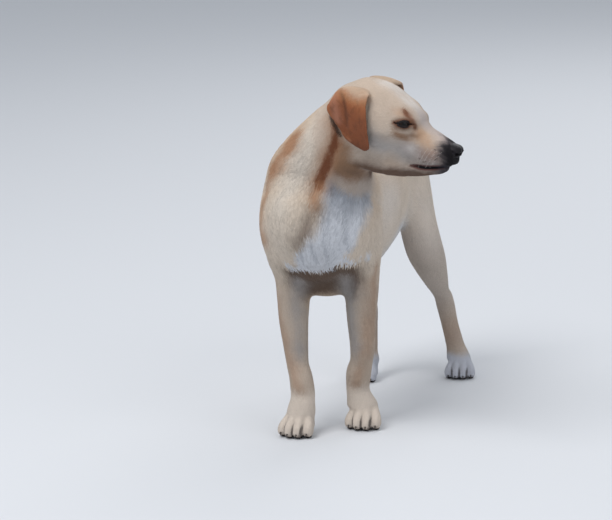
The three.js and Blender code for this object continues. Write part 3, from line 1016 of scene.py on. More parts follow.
LEG_SHADE_GREY = shade(152, 147, 144)
HIND_TAN = shade(188, 177, 167)
FORE_FOOT = shade(210, 197, 184)
HIND_FOOT_SHADED_WHITE = shade(190, 192, 200)
TOE_GAP_SHADE = shade(62, 54, 52)
SOLE_AND_SHADOW = shade(74, 66, 64)
BROW_TAN = shade(192, 175, 160)
JAW_SHADE_TAN = shade(98, 74, 60)
MUZZLE = shade(186, 173, 168)
PINK = shade(140, 113, 102)
LIP_GREY = shade(146, 138, 134)
RED_LIP = shade(88, 50, 46)
EYE_BAG_TAN_AND_SHADE = shade(134, 98, 70)
WARM_TAN = shade(186, 152, 124)
SPOT = shade(84, 66, 58)
EAR_TAN = shade(162, 101, 66)
EAR_MIDDLE = shade(134, 80, 54)
EAR_DARK = shade(100, 63, 46)
EAR_PINK = shade(172, 122, 101)
EAR_INSIDE_SHADE = shade(104, 76, 64)
EAR_HOLLOW_SHADOW = shade(48, 32, 25)
# Marks, laid one over the other: the colour, how strong it is, a line and its width or a spot's middle and
# its radii, and if need be by how much its bell is raised before it is cut off at 1. Those of the flanks
# and the head are on both sides.
FLANK_MARKS = [
    (CREAM, 0.8, (70, 420, 400), (60, 60, 80)),
    (WHITE, 0.9, (75, 240, 315), (30, 46, 22)),
    (PALE, 0.5, (90, 110, 400), (40, 80, 56)),
    # painted shade: a faint brown line where the ribs end and the flank falls back before the thigh
    (BROWN, 0.1, [(84, 200, 440), (84, 200, 400), (78, 196, 360)], 24),
]
NAPE_TOP = [(-10, -10, 566), (-34, -16, 536), (-60, -10, 500), (-66, 30, 480), (-30, 60, 495)]
FRONT_MARKS = [
    (CREAM, 0.95, [(24, -94, 568), (2, -87, 522), (-20, -82, 488), (-40, -82, 445), (-48, -78, 415)], 30),
    (CREAM, 0.7, (-50, -60, 380), (40, 40, 50)),
    (OLD_ORANGE, 0.5, NAPE_TOP, 26),
    (OLD_ORANGE, 0.9, [(-12, -68, 545), (-36, -63, 519), (-52, -58, 499), (-70, -46, 478)], 17, 1.3),
    (OLD_ORANGE, 0.65, [(-84, -42, 455), (-96, -42, 425), (-98, -48, 392), (-96, -50, 360)], 15),
]
NECK_STRIPE = [
    (58, -94, 572), (62, -98, 556), (60, -97, 541), (50, -96, 520), (41, -92, 502), (32, -87, 485),
    (22, -81, 466),
]
STRIPE_MARKS = [
    # the tan throat below the jaw: coat colour, darkened as painted shade
    (THROAT_TAN_IN_SHADE, 0.85, [(72, -95, 530), (66, -88, 506), (76, -78, 490), (87, -54, 476)], 17, 1.3),
    # painted shade: a brown line along the underside of the jaw
    (BROWN, 0.6, [(76, -78, 490), (87, -54, 476)], 12),
    (OLD_ORANGE, 0.8, NECK_STRIPE, 20),
]
RIGHT_LEG_EDGE = [
    (-96, 10, 300), (-92, 2, 250), (-84, -8, 200), (-72, -24, 150), (-56, -38, 112), (-50, -44, 88),
]
LEFT_LEG_EDGE = [(84, 20, 300), (80, 20, 250), (76, 18, 200), (68, 14, 150), (54, 12, 112), (46, 14, 88)]
LEG_MARKS = [
    # painted shade: grey down the inner fronts of the forelegs
    (LEG_SHADE_GREY, 0.85, [(-48, -14, 290), (-46, -22, 235), (-44, -26, 185), (-44, -24, 150)], 17),
    (LEG_SHADE_GREY, 0.85, [(36, 0, 290), (36, 4, 235), (38, 8, 185), (44, 12, 150)], 17),
    (DULL_ORANGE, 0.7, RIGHT_LEG_EDGE, 15),
    (DULL_ORANGE, 0.7, LEFT_LEG_EDGE, 15),
]
HOCK_MARKS = [(DULL_ORANGE, 0.6, place, (40, 60, 46)) for place in ((92, 440, 80), (-53, 390, 80))]
STIFLE_MARKS = [(SMUDGE, 0.35, place, (22, 50, 60)) for place in ((60, 360, 262), (-60, 340, 262))]
HEAD_MARKS = [
    (BROW_TAN * 0.9, 0.6, [(60, 46, 10), (104, 44, -4)], 16),
    # the tan under the jaw, darkened as painted shade
    (JAW_SHADE_TAN, 0.95, [(40, 30, -122), (90, 32, -122), (150, 24, -112), (186, 14, -98)], 20, 1.3),
    (CREAM, 0.85, [(42, 54, -82), (60, 56, -94), (84, 52, -98)], 9),
    (GREY, 0.75, [(90, 54, -60), (124, 46, -64), (150, 36, -68)], 22),
    (PALE, 0.7, [(70, 6, 36), (112, 6, 24), (148, 3, -10)], 13),
    (MUZZLE, 0.85, [(150, 3, -12), (196, 3, -26)], 16),
    (MUZZLE * 0.88, 0.8, [(150, 34, -54), (192, 28, -60)], 15),
    (PALE, 0.75, (157, 33, -55), (13, 12, 9)),
    (PINK, 0.85, (184, 28, -54), (20, 14, 10)),
    (LIP_GREY, 0.8, [(150, 34, -78), (180, 28, -74), (200, 22, -70)], 6),
    # below the eye, a tan crescent that is partly painted shade
    (EYE_BAG_TAN_AND_SHADE, 0.85, [(124, 47, -31), (133, 45, -36), (146, 40, -37), (156, 33, -29)], 7),
    (WARM_TAN, 0.75, [(158, 30, -22), (172, 27, -34), (182, 27, -42)], 10),
    (ORANGE, 0.5, (124, 36, 0), (18, 12, 6)),
    (STRIPE, 0.85, [(131, 35.5, 3), (137, 34, -2), (142, 31.5, -10), (146, 30, -17)], 5.6, 1.3),
    (STRIPE, 0.8, (140, 33.5, -8), (9, 9, 8)),
    # painted shadow: a dark line under the front edge of the ear
    (EAR_DARK, 0.8, EAR_FRONT, 3.5),
]
SPINE = [(20, -10, 560), (-8, 60, 505), (-8, 200, 494), (-4, 330, 486), (0, 430, 460)]
STRIPE_END = [(22, -81, 466), (14, -80, 450), (9, -84, 432)]
SMUDGE_LINE = [(16, -84, 428), (8, -88, 404), (-4, -90, 382), (-22, -86, 364)]
# The white of the chest: its middle line, and half its width by height; then the band across its lower
# edge.
CHEST_WHITE = [
    (74, -62, 462), (72, -56, 446), (68, -58, 425), (58, -60, 400), (46, -64, 375), (22, -70, 345),
    (0, -62, 322),
]
CHEST_HEIGHTS = [305, 322, 345, 375, 400, 425, 446, 464]
CHEST_WIDTHS = [44, 42, 38, 38, 41, 44, 46, 38]
CHEST_BAND = [(-50, -48, 316), (-20, -57, 313), (6, -57, 312), (40, -42, 319), (66, -25, 325), (80, -12, 331)]


def wobble(points, size, amount, seed=1):
    """Moves points by smooth waves of about size, up to amount, so that an edge drawn through them
    wanders."""
    waves = np.random.default_rng(seed)
    moved = points.copy()
    for _ in range(5):
        direction = unit(waves.normal(size=3)) * 2 * math.pi / (size * waves.uniform(0.6, 1.6))
        wave = np.sin(points @ direction + waves.uniform(0, 6.3))
        moved += wave[:, None] * unit(waves.normal(size=3)) * amount / 2
    return moved


def ear_share(points):
    """1 on an ear's flap and 0 away from it, by the distance to the flap's own surface."""
    return step(np.minimum(*(sampled(own, points) for own in ear_distance)), 4.4, 2.2)


class Paint:
    """The colour of each point, on which tones are laid one over the other."""

    def __init__(self, ground, count):
        self.colour = np.tile(ground, (count, 1))

    def __call__(self, tone, mask):
        """colour * (1 - mask) + tone * mask, with mask between 0 and 1."""
        mask = np.clip(mask, 0, 1)[:, None]
        self.colour = self.colour * (1 - mask) + tone * mask

    def marks(self, points, rows, share=1.0):
        """Lays a table's marks, each only as far as share lets it."""
        for tone, strength, place, size, *gain in rows:
            bell = ridge(points, place, size) if isinstance(place, list) else blob(points, place, size)
            self(tone, strength * share * np.clip(bell * (gain[0] if gain else 1), 0, 1))


def markings(points, normals):
    """The coat's colour at each point, the same for skin and tufts: a tan ground with patches laid over it.
    p are the points moved a little, which makes the patches' edges wander."""
    p = wobble(wobble(points, 40, 5, 1), 9, 2, 2)
    y, z = p[:, 1], p[:, 2]
    paint = Paint(TAN, len(points))
    body = step(z, 230, 300)
    paint(CREAM, 0.7 * step(normals[:, 2], 0.6, -0.3) * body)
    paint(ORANGE, 0.45 * ridge(p, SPINE, 34))
    paint(WHITE, 0.8 * step(normals[:, 2], -0.2, -0.8) * step(y, 60, 120) * body)
    for hand in (1, -1):
        paint.marks(p * [hand, 1, 1], FLANK_MARKS)
    paint_front(paint, p, points)
    paint_legs(paint, p, points)
    local = to_head(p)
    paint_head(paint, folded(local), to_head(points))
    paint.marks(p, STRIPE_MARKS)
    paint(STRIPE, 0.95 * step(gap_to(p, NECK_STRIPE), 13, 4))
    paint(OLD_ORANGE, 0.7 * ridge(p, STRIPE_END, 9))
    paint_ears(paint, local, to_head(points), ear_share(points), normals)
    return paint.colour


def paint_front(paint, p, points):
    """The neck, the shoulders and the chest, whose white is greyed by painted shade below the head and ends
    below in a ragged edge over a brown hollow, darkened as painted shade.
    """
    x, y, z = p.T
    front = step(y, 34, 0) * step(z, 225, 250)
    paint.marks(p, FRONT_MARKS)
    width = np.interp(z, CHEST_HEIGHTS, CHEST_WIDTHS)
    soft = np.interp(z, [320, 380], [4, 12])
    chest = front * step(z, 300, 304) * step(gap_to(p, CHEST_WHITE) - width, soft, -soft)
    paint(WHITE, chest)
    # painted shade: the white greyed, with a little painted blue sky light, down the upper chest, darkest
    # just below the head whose shadow falls there
    paint(CHEST_SHADE_AND_STREAK_GREY, 0.85 * chest * step(z, 385, 440))
    paint(THROAT_SHADOW_GREY, 0.75 * chest * step(z, 432, 464))
    # grey streaks of mottled hair in the white, in the chest's painted shade grey
    streaks = wobble(points * [1, 1, 0.3], 7, 3, 5)
    waves = np.sin(streaks[:, 0] * 0.55) + np.sin(streaks[:, 0] * 0.23 + 1)
    paint(CHEST_SHADE_AND_STREAK_GREY, 0.4 * chest * step(waves, 0.1, 1.2))
    band = np.interp(x, [30, 80], [11, 6])
    paint(WHITE, front * step(gap_to(p, CHEST_BAND) - band, 2, -2))
    paint(SMUDGE, 0.75 * ridge(p, SMUDGE_LINE, 15))
    # the underside of the chest between the forelegs: brown coat darkened as painted shade, a little lighter
    # in its middle
    below = np.interp(x, [-60, 0, 60, 90], [306, 301, 311, 320])
    hollow = front * step(z, below + 2, below - 3) * step(z, 215, 258) * step(np.abs(x - 2), 86, 54)
    paint(UNDER_SHADE, 0.95 * hollow)
    paint(SMUDGE, 0.25 * hollow * blob(p, (8, -40, 288), (12, 40, 16)))


def paint_legs(paint, p, points):
    """Tan legs darkened as painted shade, painted shade grey on their inner fronts, orange down their outer
    edges and wrists, and white feet, the hind ones greyed as painted shade, with painted shade between and
    under the toes.
    """
    x, y, z = p.T
    inner = 45 * step(np.abs(x - 2), 62, 40) * step(y, 60, 20)
    leg = step(z, 300 - inner, 250 - inner)
    # the legs' tan, darkened as painted shade for their place under the body
    paint(LEG_SHADED_TAN, 0.85 * leg)
    paint(HIND_TAN, 0.8 * step(z, 330, 280) * step(y, 150, 250))
    for hand in (1, -1):
        paint(PALE, 0.5 * blob(p, (hand * 82, 343, 335), (36, 60, 60)))
    paint.marks(p, LEG_MARKS)
    paint.marks(p, HOCK_MARKS, leg)
    paint.marks(p, STIFLE_MARKS)
    paint(FORE_FOOT, 0.9 * step(z, 90, 66) * step(y, 200, 160))
    # white hind feet, greyed and cooled as painted shade
    paint(HIND_FOOT_SHADED_WHITE, step(z, 56, 36) * step(y, 160, 200))
    for (foot_x, foot_y), turn, (width, length, height) in FEET.values():
        a = math.radians(turn)
        dx, dy = points[:, 0] - foot_x, points[:, 1] - foot_y
        out, ahead = dx * math.cos(a) + dy * math.sin(a), dy * math.cos(a) - dx * math.sin(a)
        near = (np.abs(out) < 0.6 * width) * step(points[:, 2], 0.72 * height, 0.46 * height)
        gap = np.abs(out[:, None] - np.array([-0.243, 0, 0.243]) * width).min(1)
        front = step(ahead, -0.16 * length, -0.3 * length) * step(ahead, -0.8 * length, -0.7 * length)
        # painted shade in the gaps between the toes
        paint(TOE_GAP_SHADE, 0.8 * near * front * step(gap, 2.6, 0.9))
        # the lowest edge of each foot darkened: the dark sole's edge, and the painted shadow under the toes
        paint(SOLE_AND_SHADOW, near * step(points[:, 2], 5, 3) * (np.abs(ahead) < 0.8 * length))


def paint_head(paint, mirrored, true):
    """The head, the same on both sides: a pale line down the face, grey cheeks, dark rims, lips and end of
    nose."""
    head = step(off_middle(true), 155, 140)
    ahead = mirrored[:, 0]
    paint(BROW_TAN, 0.75 * head)
    paint.marks(mirrored, HEAD_MARKS, head)
    whisker_gap = np.sqrt(((mirrored[:, None] - WHISKER_ROOTS[None]) ** 2).sum(-1)).min(1)
    paint(SPOT, 0.85 * head * step(whisker_gap, 2.4, 0.9))
    near_eye, corner = eye_gap(true), corner_gap(mirrored)
    paint(BROWN, 0.75 * np.maximum(step(near_eye, 12, 4), head * step(corner, 9, 3)))
    paint(STRIPE, 0.75 * np.maximum(step(near_eye, 6.5, 2.2), head * step(corner, 6, 2)))
    paint(BLACK, np.maximum(step(near_eye, 3.4, 1.8), head * step(corner, 2.6, 1.4)))
    lips = lip_gap(true, 140) + 3.0 * step(true[:, 0], 172, 150)
    below = step(true[:, 0], 168, 200) * blob(true[:, [0, 2]], (212, -84), (26, 11))
    paint(DARK_GREY, 0.8 * below)
    paint(RED_LIP, 0.9 * step(lips, 6.2, 3.4))
    paint(BLACK, step(lips, 3.2, 1.8) * step(true[:, 0], 150, 172))
    ahead = ahead + 0.25 * (mirrored[:, 2] + 50)
    paint(DARK_GREY, 0.9 * head * step(ahead, 190, 210))
    paint(BLACK, head * step(ahead, 200, 215))


def paint_ears(paint, local, true, flap, normals):
    """The ears: orange-brown, darker down, with painted shade along the crease, a paler back edge and a
    grey-brown inside darkened as painted shade; and the painted shadow of the hollow behind the near ear."""
    local = local - EAR_LEFT_SHIFT * (flap * (true[:, 1] > 0))[:, None]
    outer = flap * step(np.sign(true[:, 1]) * (normals @ HEAD_AXES.T)[:, 1], -0.3, 0.2)
    above = step(local[:, 2], 4, 20)
    side = true[:, [0, 2]]
    paint(EAR_TAN, flap)
    paint(EAR_MIDDLE, outer * step(local[:, 2], 2, -24) * 0.95)
    paint(EAR_DARK, outer * step(local[:, 2], -50, -76) * 0.35)
    paint(EAR_PINK, outer * 0.6 * ridge(side, [(2, 6), (10, -12), (22, -36)], 8))
    # painted shade along the ear's crease, over its groove
    paint(EAR_DARK, outer * 0.7 * ridge(side, EAR_CREASE, 3.0))
    paint(EAR_TAN, outer * 0.8 * ridge(side, EAR_ROLL, 3.5))
    # painted shade: the inside of each flap, towards the head, darkened grey-brown
    paint(EAR_INSIDE_SHADE, 0.9 * (flap - outer))
    x, _, z = wobble(true, 12, 4, 9).T
    patches = np.sin(x * 0.5 + z * 0.2) + np.sin(z * 0.16 - x * 0.2)
    paint(EAR_DARK, 0.35 * outer * step(patches, 0.2, 1.6))
    # painted shadow: the dark hollow between the near ear's back edge and the skull
    paint(EAR_HOLLOW_SHADOW, 0.9 * np.clip(1.5 * ridge(true, EAR_HOLLOW, 4.4), 0, 1))
    near_ear = step(np.abs(true[:, 1]), 30, 52) * step(local[:, 0], 76, 60) * step(local[:, 0], -14, 6)
    paint(ORANGE, 0.6 * near_ear * step(local[:, 2], -6, 8) * (1 - above))
    paint(TAN, np.maximum(flap, near_ear) * above * 0.8)


# ---- eyes ----
CORNEA_RISE, CORNEA_EDGE = 1.0, 0.8             # millimetres, and radians from the middle of the eye
RIM_RADIUS = 1.25
RIM_SUNK = 0.7                                  # how far the rims' middle lies inside the lids' outside
UPPER_RIM, LOWER_RIM = 1.15, 0.95               # the rims' thickness, in RIM_RADIUS


def squared(direction):
    """Two directions square to the given one, and itself, as a right-handed set."""
    first = unit(np.cross(UP, direction))
    return np.array([first, np.cross(direction, first), direction])


def sphere(rings, around):
    """Directions out from a middle, on rings from -z to +z, as a closed surface."""
    polar = np.linspace(math.pi, 0, rings + 2)[1:-1, None]
    turn = turns(around)[None, :]
    wide, tall = np.sin(polar), np.cos(polar)
    ring = np.stack([wide * np.cos(turn), wide * np.sin(turn), tall + 0 * turn], -1)
    return strands(np.array([[0, 0, -1.0]]), ring[None], np.array([[0, 0, 1.0]]))


def add_eyeball(name, hand, material):
    """A ball whose front bulges as a cornea: radius + rise * (1 - (angle / edge)^2) inside that edge."""
    centre, axes = eye_frame(hand)
    directions, quads, triangles = sphere(40, 64)
    away = np.arccos(np.clip(directions[:, 2], -1, 1))
    radius = EYE_RADIUS + CORNEA_RISE * np.clip(1 - (away / CORNEA_EDGE) ** 2, 0, 1)
    points = centre + (directions * radius[:, None]) @ squared(axes[2])
    ball = piece(name, from_head(points), [quads, triangles], material)
    carry(ball, "away", "FLOAT", away / math.pi)
    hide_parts(name.replace("eyeball", "eye"))


def rim(hand, upper):
    """The edge of one lid: a tube along the opening's outline on the ball, thickest in its middle."""
    half, above, below = OPENING
    t = np.linspace(0, 1, 50)[1:-1]
    u = -half * np.cos(math.pi * t)
    v = lid_edge(u, above) if upper else -lid_edge(u, below)
    path = on_ball(u, v, hand, EYE_RADIUS + LID - RIM_SUNK)
    out = unit(path - EYE * [1, hand, 1])
    along = unit(np.gradient(path, axis=0))
    side = unit(np.cross(along, out))
    radius = RIM_RADIUS * np.sin(math.pi * t) ** 0.35 * (UPPER_RIM if upper else LOWER_RIM)
    return tube(path, along, side, radius, radius * 0.9, 10)


def tube(path, along, side, wide, tall, around):
    """A closed tube on a path: path + wide * cos * side + tall * sin * upward, round each point."""
    upward = np.cross(along, side)
    turn = turns(around)[None, :, None]
    rings = path[:, None] + side[:, None] * wide[:, None, None] * np.cos(turn)
    rings = rings + upward[:, None] * tall[:, None, None] * np.sin(turn)
    ends = path[[0, -1]] + along[[0, -1]] * np.stack([-wide[0] / 2, wide[-1] / 2])[..., None]
    return strands(ends[:1], rings[None], ends[1:])


# ---- the nose ----
NOSE_MIDDLE = np.array([213.5, 0.0, -46.0])
NOSE_REACH = (16.5, 18.0, 13.5)                 # forwards, to each side, and up
NOSE_BOXINESS = [0.8, 0.86, 0.9]
NOSTRIL = [(231, 5.5, -46), (230, 9.5, -47.5), (226, 13.5, -46.5)]
NOSTRIL_SLIT = [(226, 13.5, -46.5), (220, 17.5, -43.5), (215, 19, -41)]
PHILTRUM = [(233, 0, -44), (229, 0, -54), (222, 0, -64)]
NOSE_FURROW = [(232, 0, -44), (226, 0, -33), (214, 0, -31)]


def nose_shape():
    """A boxy egg, leaning forwards at its top and narrower below, with nostrils, their side slits and a
    groove drawn in by bells round their lines."""
    directions, quads, triangles = sphere(110, 150)
    directions = directions[:, [2, 0, 1]]
    boxy = np.sign(directions) * np.abs(directions) ** NOSE_BOXINESS
    points = NOSE_MIDDLE + boxy * NOSE_REACH
    rise = points[:, 2] - NOSE_MIDDLE[2]
    points[:, 0] += 0.22 * rise - 0.02 * rise**2 * (rise < 0)
    points[:, 1] *= 1 - 0.018 * np.clip(-rise, 0, 20)
    mirrored = folded(points)
    hole = gap_to(mirrored, NOSTRIL)
    depth = 6.0 * np.exp(-((hole / 2.7) ** 2.5)) - 0.7 * np.exp(-(((hole - 4.6) / 1.6) ** 2))
    depth += 2.0 * ridge(mirrored, NOSTRIL_SLIT, 1.3) + 1.3 * ridge(mirrored, PHILTRUM, 1.3)
    depth += 0.5 * ridge(mirrored, NOSE_FURROW, 2.5)
    inward = unit(NOSE_MIDDLE + [-4, 0, 0] - points)
    return points + inward * depth[:, None], quads, triangles


# ---- claws, pads and whiskers ----
CLAW_PATH = [(0.08, 0.22), (0.022, 0.235), (-0.016, 0.18), (-0.034, 0.1)]     # behind the toe's tip, and up
CLAW_RADIUS = 0.037
CLAW_RINGS = 14
TOE_PAD, MAIN_PAD = (0.09, 0.08, 3.0), (0.27, 0.17, 4.0)    # in foot widths, foot lengths and millimetres
PAD_LEVEL = 3.2                                 # the height of the pads' middle


def claws(name):
    """Four claws of a foot: each a flattened tube that thins along a bend, from inside its toe to near the
    floor."""
    _, _, (width, length, height) = FEET[name]
    t = np.linspace(0, 1, CLAW_RINGS)
    radius = CLAW_RADIUS * width * (1 - 0.82 * t**1.6)
    side = np.tile([-1.0, 0, 0], (CLAW_RINGS, 1))
    made = []
    for place, reach in TOES:
        out = place * width * 1.03
        steps = np.array([(out, (along - reach) * length, up * height) for along, up in CLAW_PATH])
        path, slope = smooth_run(steps, t)
        made.append(at_foot(name, tube(path, unit(slope), side, radius * 0.8, radius, 12)))
    return made


def pads(name):
    """The leather under a foot: an egg under each toe and a wide one behind them, flat where they meet the
    floor."""
    _, _, (width, length, _) = FEET[name]
    spots = [(place * width, (0.14 - reach) * length, *TOE_PAD) for place, reach in TOES]
    spots.append((0, -0.02 * length, *MAIN_PAD))
    made = []
    for x, y, wide, long, tall in spots:
        directions, quads, triangles = sphere(20, 32)
        points = directions * [wide * width, long * length, tall] + [x, y, PAD_LEVEL]
        points[:, 2] = np.maximum(points[:, 2], 0)
        made.append(at_foot(name, (points, quads, triangles)))
    return made


WHISKER_LENGTHS = (12, 22)
WHISKER_RADIUS = 0.2
WHISKER_SUNK = 0.6
WHISKER_DROOP = 0.22


def whiskers():
    """Thin bent cones in rows on the muzzle, and a few over each eye: root + reach * t + droop * t^2."""
    roots, reaches = [], []
    for hand in (1, -1):
        roots.extend(WHISKER_ROOTS * [1, hand, 1])
        reaches.extend((-0.02 * (x - 180), hand * 0.8, 0.012 * (z + 40) - 0.2) for x, _, z in WHISKER_ROOTS)
        for k in range(3):
            roots.append((118 + 5 * k, hand * 33, 8 + k))
            reaches.append((0.3, hand * 0.5, 0.8))
    roots, reaches = from_head(roots), unit(np.array(reaches)) @ HEAD_AXES
    for _ in range(2):
        gap, out = skin_gap(roots)
        roots = roots - out * (gap[:, None] + WHISKER_SUNK)
    length = rng.uniform(*WHISKER_LENGTHS, (len(roots), 1, 1))
    t = np.linspace(0, 0.9, 6)[None, :, None]
    droop = np.array([0, 0, -WHISKER_DROOP])
    path = roots[:, None] + length * (reaches[:, None] * t + droop * t * t)
    tips = roots + length[:, 0] * (reaches + droop)
    side = unit(np.cross(reaches, UP))
    upward = np.cross(reaches, side)
    turn = turns(3)[None, None, :, None]
    ring = side[:, None, None] * np.cos(turn) + upward[:, None, None] * np.sin(turn)
    rings = path[:, :, None] + ring * (WHISKER_RADIUS * (1 - 0.8 * t))[..., None]
    return strands(roots - reaches * 0.5, rings, tips)


# ---- the finished skin's own field, from which hairs take their height ----
skin_distance = distances((skin, np.empty((0, 4), int), faces), 9.0)


def skin_gap(points):
    """Each point's distance outside the skin, and the direction straight away from it."""
    slopes = [
        sampled(skin_distance, points + reach) - sampled(skin_distance, points - reach)
        for reach in np.eye(3) * VOXEL
    ]
    return sampled(skin_distance, points), unit(np.stack(slopes, -1))


# ---- the lie of the coat ----
HEAD_FLOW = [
    [(222, 0, -34), (190, 0, -26), (150, 0, -8), (118, 0, 24), (76, 0, 36), (30, 0, 34), (0, 0, 16)],
    [(218, 20, -48), (180, 32, -52), (150, 38, -50), (104, 56, -56), (70, 60, -62), (40, 58, -80)],
    [(150, 24, -16), (130, 34, 6), (104, 40, 16), (60, 44, 22)],
    [(200, 26, -70), (160, 33, -78), (110, 45, -96), (70, 48, -110), (40, 44, -128)],
    [(205, 8, -92), (150, 14, -112), (90, 16, -122), (40, 10, -140)],
    [(30, 52, 18), (32, 62, 2), (38, 69, -24), (54, 70, -44), (68, 68, -60), (78, 66, -72)],
    [(60, 60, 12), (66, 68, -10), (74, 68, -40), (78, 66, -66)],
    [(4, 60, -10), (14, 66, -34), (34, 68, -50), (62, 68, -64)],
]
BODY_FLOW = [
    [(66, -40, 640), (30, -30, 590), (0, 0, 540), (-8, 60, 505), (-8, 200, 494), (-4, 330, 486),
     (0, 430, 460)],
    [(20, -80, 560), (-20, -60, 510), (-60, -20, 460), (-90, 40, 440), (-98, 160, 430), (-80, 300, 420)],
    [(104, -40, 560), (92, -30, 510), (84, 0, 470), (84, 60, 440), (90, 160, 430), (76, 300, 420)],
    [(70, -100, 560), (50, -95, 510), (20, -86, 450), (4, -90, 390), (0, -70, 330), (0, -20, 290)],
    [(100, -80, 560), (88, -60, 490), (74, -50, 430), (50, -70, 370), (30, -60, 320)],
    [(-30, -60, 480), (-60, -50, 430), (-60, -60, 380), (-40, -60, 330)],
    [(-104, 20, 410), (-104, 110, 380), (-100, 220, 360), (-76, 300, 350)],
    [(90, 20, 410), (92, 110, 380), (90, 220, 360), (74, 300, 350)],
    [(0, 20, 255), (0, 120, 258), (0, 240, 280), (0, 330, 310)],
    [(-92, -10, 420), (-106, 10, 370), (-94, 30, 310), (-78, 30, 260), (-72, 10, 200), (-62, -6, 130)],
    [(84, 0, 420), (94, 24, 370), (84, 50, 310), (70, 50, 260), (66, 34, 200), (62, 34, 130)],
    [(-62, -6, 130), (-50, -40, 90), (-46, -50, 60), (-46, -66, 30), (-46, -80, 14)],
    [(62, 34, 130), (50, 16, 90), (52, 20, 60), (53, 6, 30), (53, -6, 14)],
    [(40, 340, 480), (66, 380, 420), (76, 380, 350), (86, 380, 290), (88, 396, 230), (88, 440, 170)],
    [(-40, 340, 480), (-66, 376, 420), (-78, 366, 350), (-78, 356, 290), (-74, 366, 230), (-68, 396, 170)],
    [(20, 450, 420), (50, 440, 380), (66, 426, 320), (84, 430, 240), (88, 462, 180)],
    [(-20, 450, 420), (-50, 434, 380), (-62, 410, 320), (-68, 400, 240), (-62, 414, 180)],
    [(88, 440, 170), (90, 448, 120), (104, 434, 70), (116, 410, 36), (124, 388, 12)],
    [(-68, 396, 170), (-60, 394, 120), (-56, 380, 70), (-57, 350, 36), (-57, 328, 12)],
    [(0, 440, 440), (8, 480, 425), (14, 494, 390), (26, 503, 345), (38, 504, 290), (56, 490, 220),
     (57, 478, 186)],
]
ANCHOR_GAP = 14.0


def anchors():
    """Places every ANCHOR_GAP along the flow's lines, and the line's direction there."""
    lines = [np.array(line, float) for line in BODY_FLOW]
    for line in HEAD_FLOW:
        for hand in (1, -1):
            lines.append(from_head(np.array(line, float) * [1, hand, 1]))
    places, ways = [], []
    for line in lines:
        length = np.linalg.norm(np.diff(line, axis=0), axis=1).sum()
        run, slope = smooth_run(line, np.linspace(0, 1, max(3, int(length / ANCHOR_GAP))))
        places.append(run)
        ways.append(unit(slope))
    return np.vstack(places), np.vstack(ways)


def flow_at(points, normals):
    """The lie of the hair: the anchors' directions, weighted by 1 / distance^4, laid flat on the skin."""
    places, ways = anchors()
    flow = np.empty_like(points)
    for start in range(0, len(points), 20_000):
        part = slice(start, start + 20_000)
        gap = ((points[part, None] - places[None]) ** 2).sum(-1)
        flow[part] = (1 / (gap + 100.0) ** 2) @ ways
    return flat_on(flow, normals)


def flat_on(ways, normals):
    """Directions with what points along the normals taken away."""
    return unit(ways - normals * (ways * normals).sum(1, keepdims=True))


# ---- the coat ----
TUFTS = 240_000
TAIL_LINE = np.array(TAIL, float)[2:, :3]
SUNK = 0.12                                     # how far under the skin a tuft's edges lie
WISPS = [(74, 250, 316), (-74, 250, 316)]       # longer hair at the folds of the flanks
FRINGE_HEIGHT = 316                             # the lower edge of the white chest
PARTS = [
    "face", "crown", "ears", "neck", "chest", "back", "rump", "forelegs", "hindlegs", "forepaws", "hindpaws",
    "tail",
]


def tuft_sizes(points):
    """Length, half-width, and how far the middle and the tip stand off the skin, by the part of the body."""
    local = to_head(points)
    _, y, z = points.T
    head = step(off_middle(local), 165, 130)
    muzzle = head * step(local[:, 0], 115, 175)
    eyes = np.minimum(eye_gap(local), corner_gap(folded(local)))
    length = np.full(len(points), 11.0)
    for value, share in (
        (13.0, step(y, 0, -30) * (1 - head)),
        (7.0, step(z, 300, 240)),
        (4.2, step(z, 90, 50)),
        (6.0, head),
        (3.2, muzzle),
        (4.0, ear_share(points)),
        (13.0, step(gap_to(points, TAIL_LINE), 34, 26)),
        (1.9, step(eyes, 10, 4)),
    ):
        length = length * (1 - share) + value * share
    width = 0.062 * length + 0.14
    rise = 0.3 + 0.035 * length
    fringe = step(y, 30, 0) * np.exp(-(((z - FRINGE_HEIGHT) / 9) ** 2)) * (z < FRINGE_HEIGHT + 14)
    wisps = sum(blob(points, place, (40, 46, 18)) for place in WISPS)
    long = np.clip(fringe + wisps, 0, 1)
    length = length + 2.5 * long
    return length, width, rise, 0.55 * rise + 0.9 * long


def bare(points):
    """1 where no hair grows: on the nose, the lips, the lids' edges, inside the opening of the eyes, and on
    soles."""
    local = to_head(points)
    nose = np.linalg.norm((local - NOSE_MIDDLE) / (np.array(NOSE_REACH) + 0.5), axis=1)
    lips = lip_gap(local, 146)
    return (eye_gap(local) < 1.6) | (nose < 1) | (lips < 1.5) | (points[:, 2] < FOOT_LEVEL + 0.6)


def coat_part(points):
    """The number, in PARTS, of the piece that each hair belongs to."""
    local = to_head(points)
    _, y, z = points.T
    part = np.where(y < 290, PARTS.index("back"), PARTS.index("rump"))
    for name, inside in (
        ("chest", y < 120),
        ("neck", (z > 440) & (y < 60)),
        ("forelegs", (z < 285) & (y < 200)),
        ("hindlegs", (z < 285) & (y >= 200)),
        ("forepaws", (z < 62) & (y < 200)),
        ("hindpaws", (z < 62) & (y >= 200)),
        ("crown", off_middle(local) < 140),
        ("face", (off_middle(local) < 140) & (local[:, 0] > 118)),
        ("ears", ear_share(points) > 0.5),
        ("tail", gap_to(points, TAIL_LINE) < 26),
    ):
        part[inside] = PARTS.index(name)
    return part


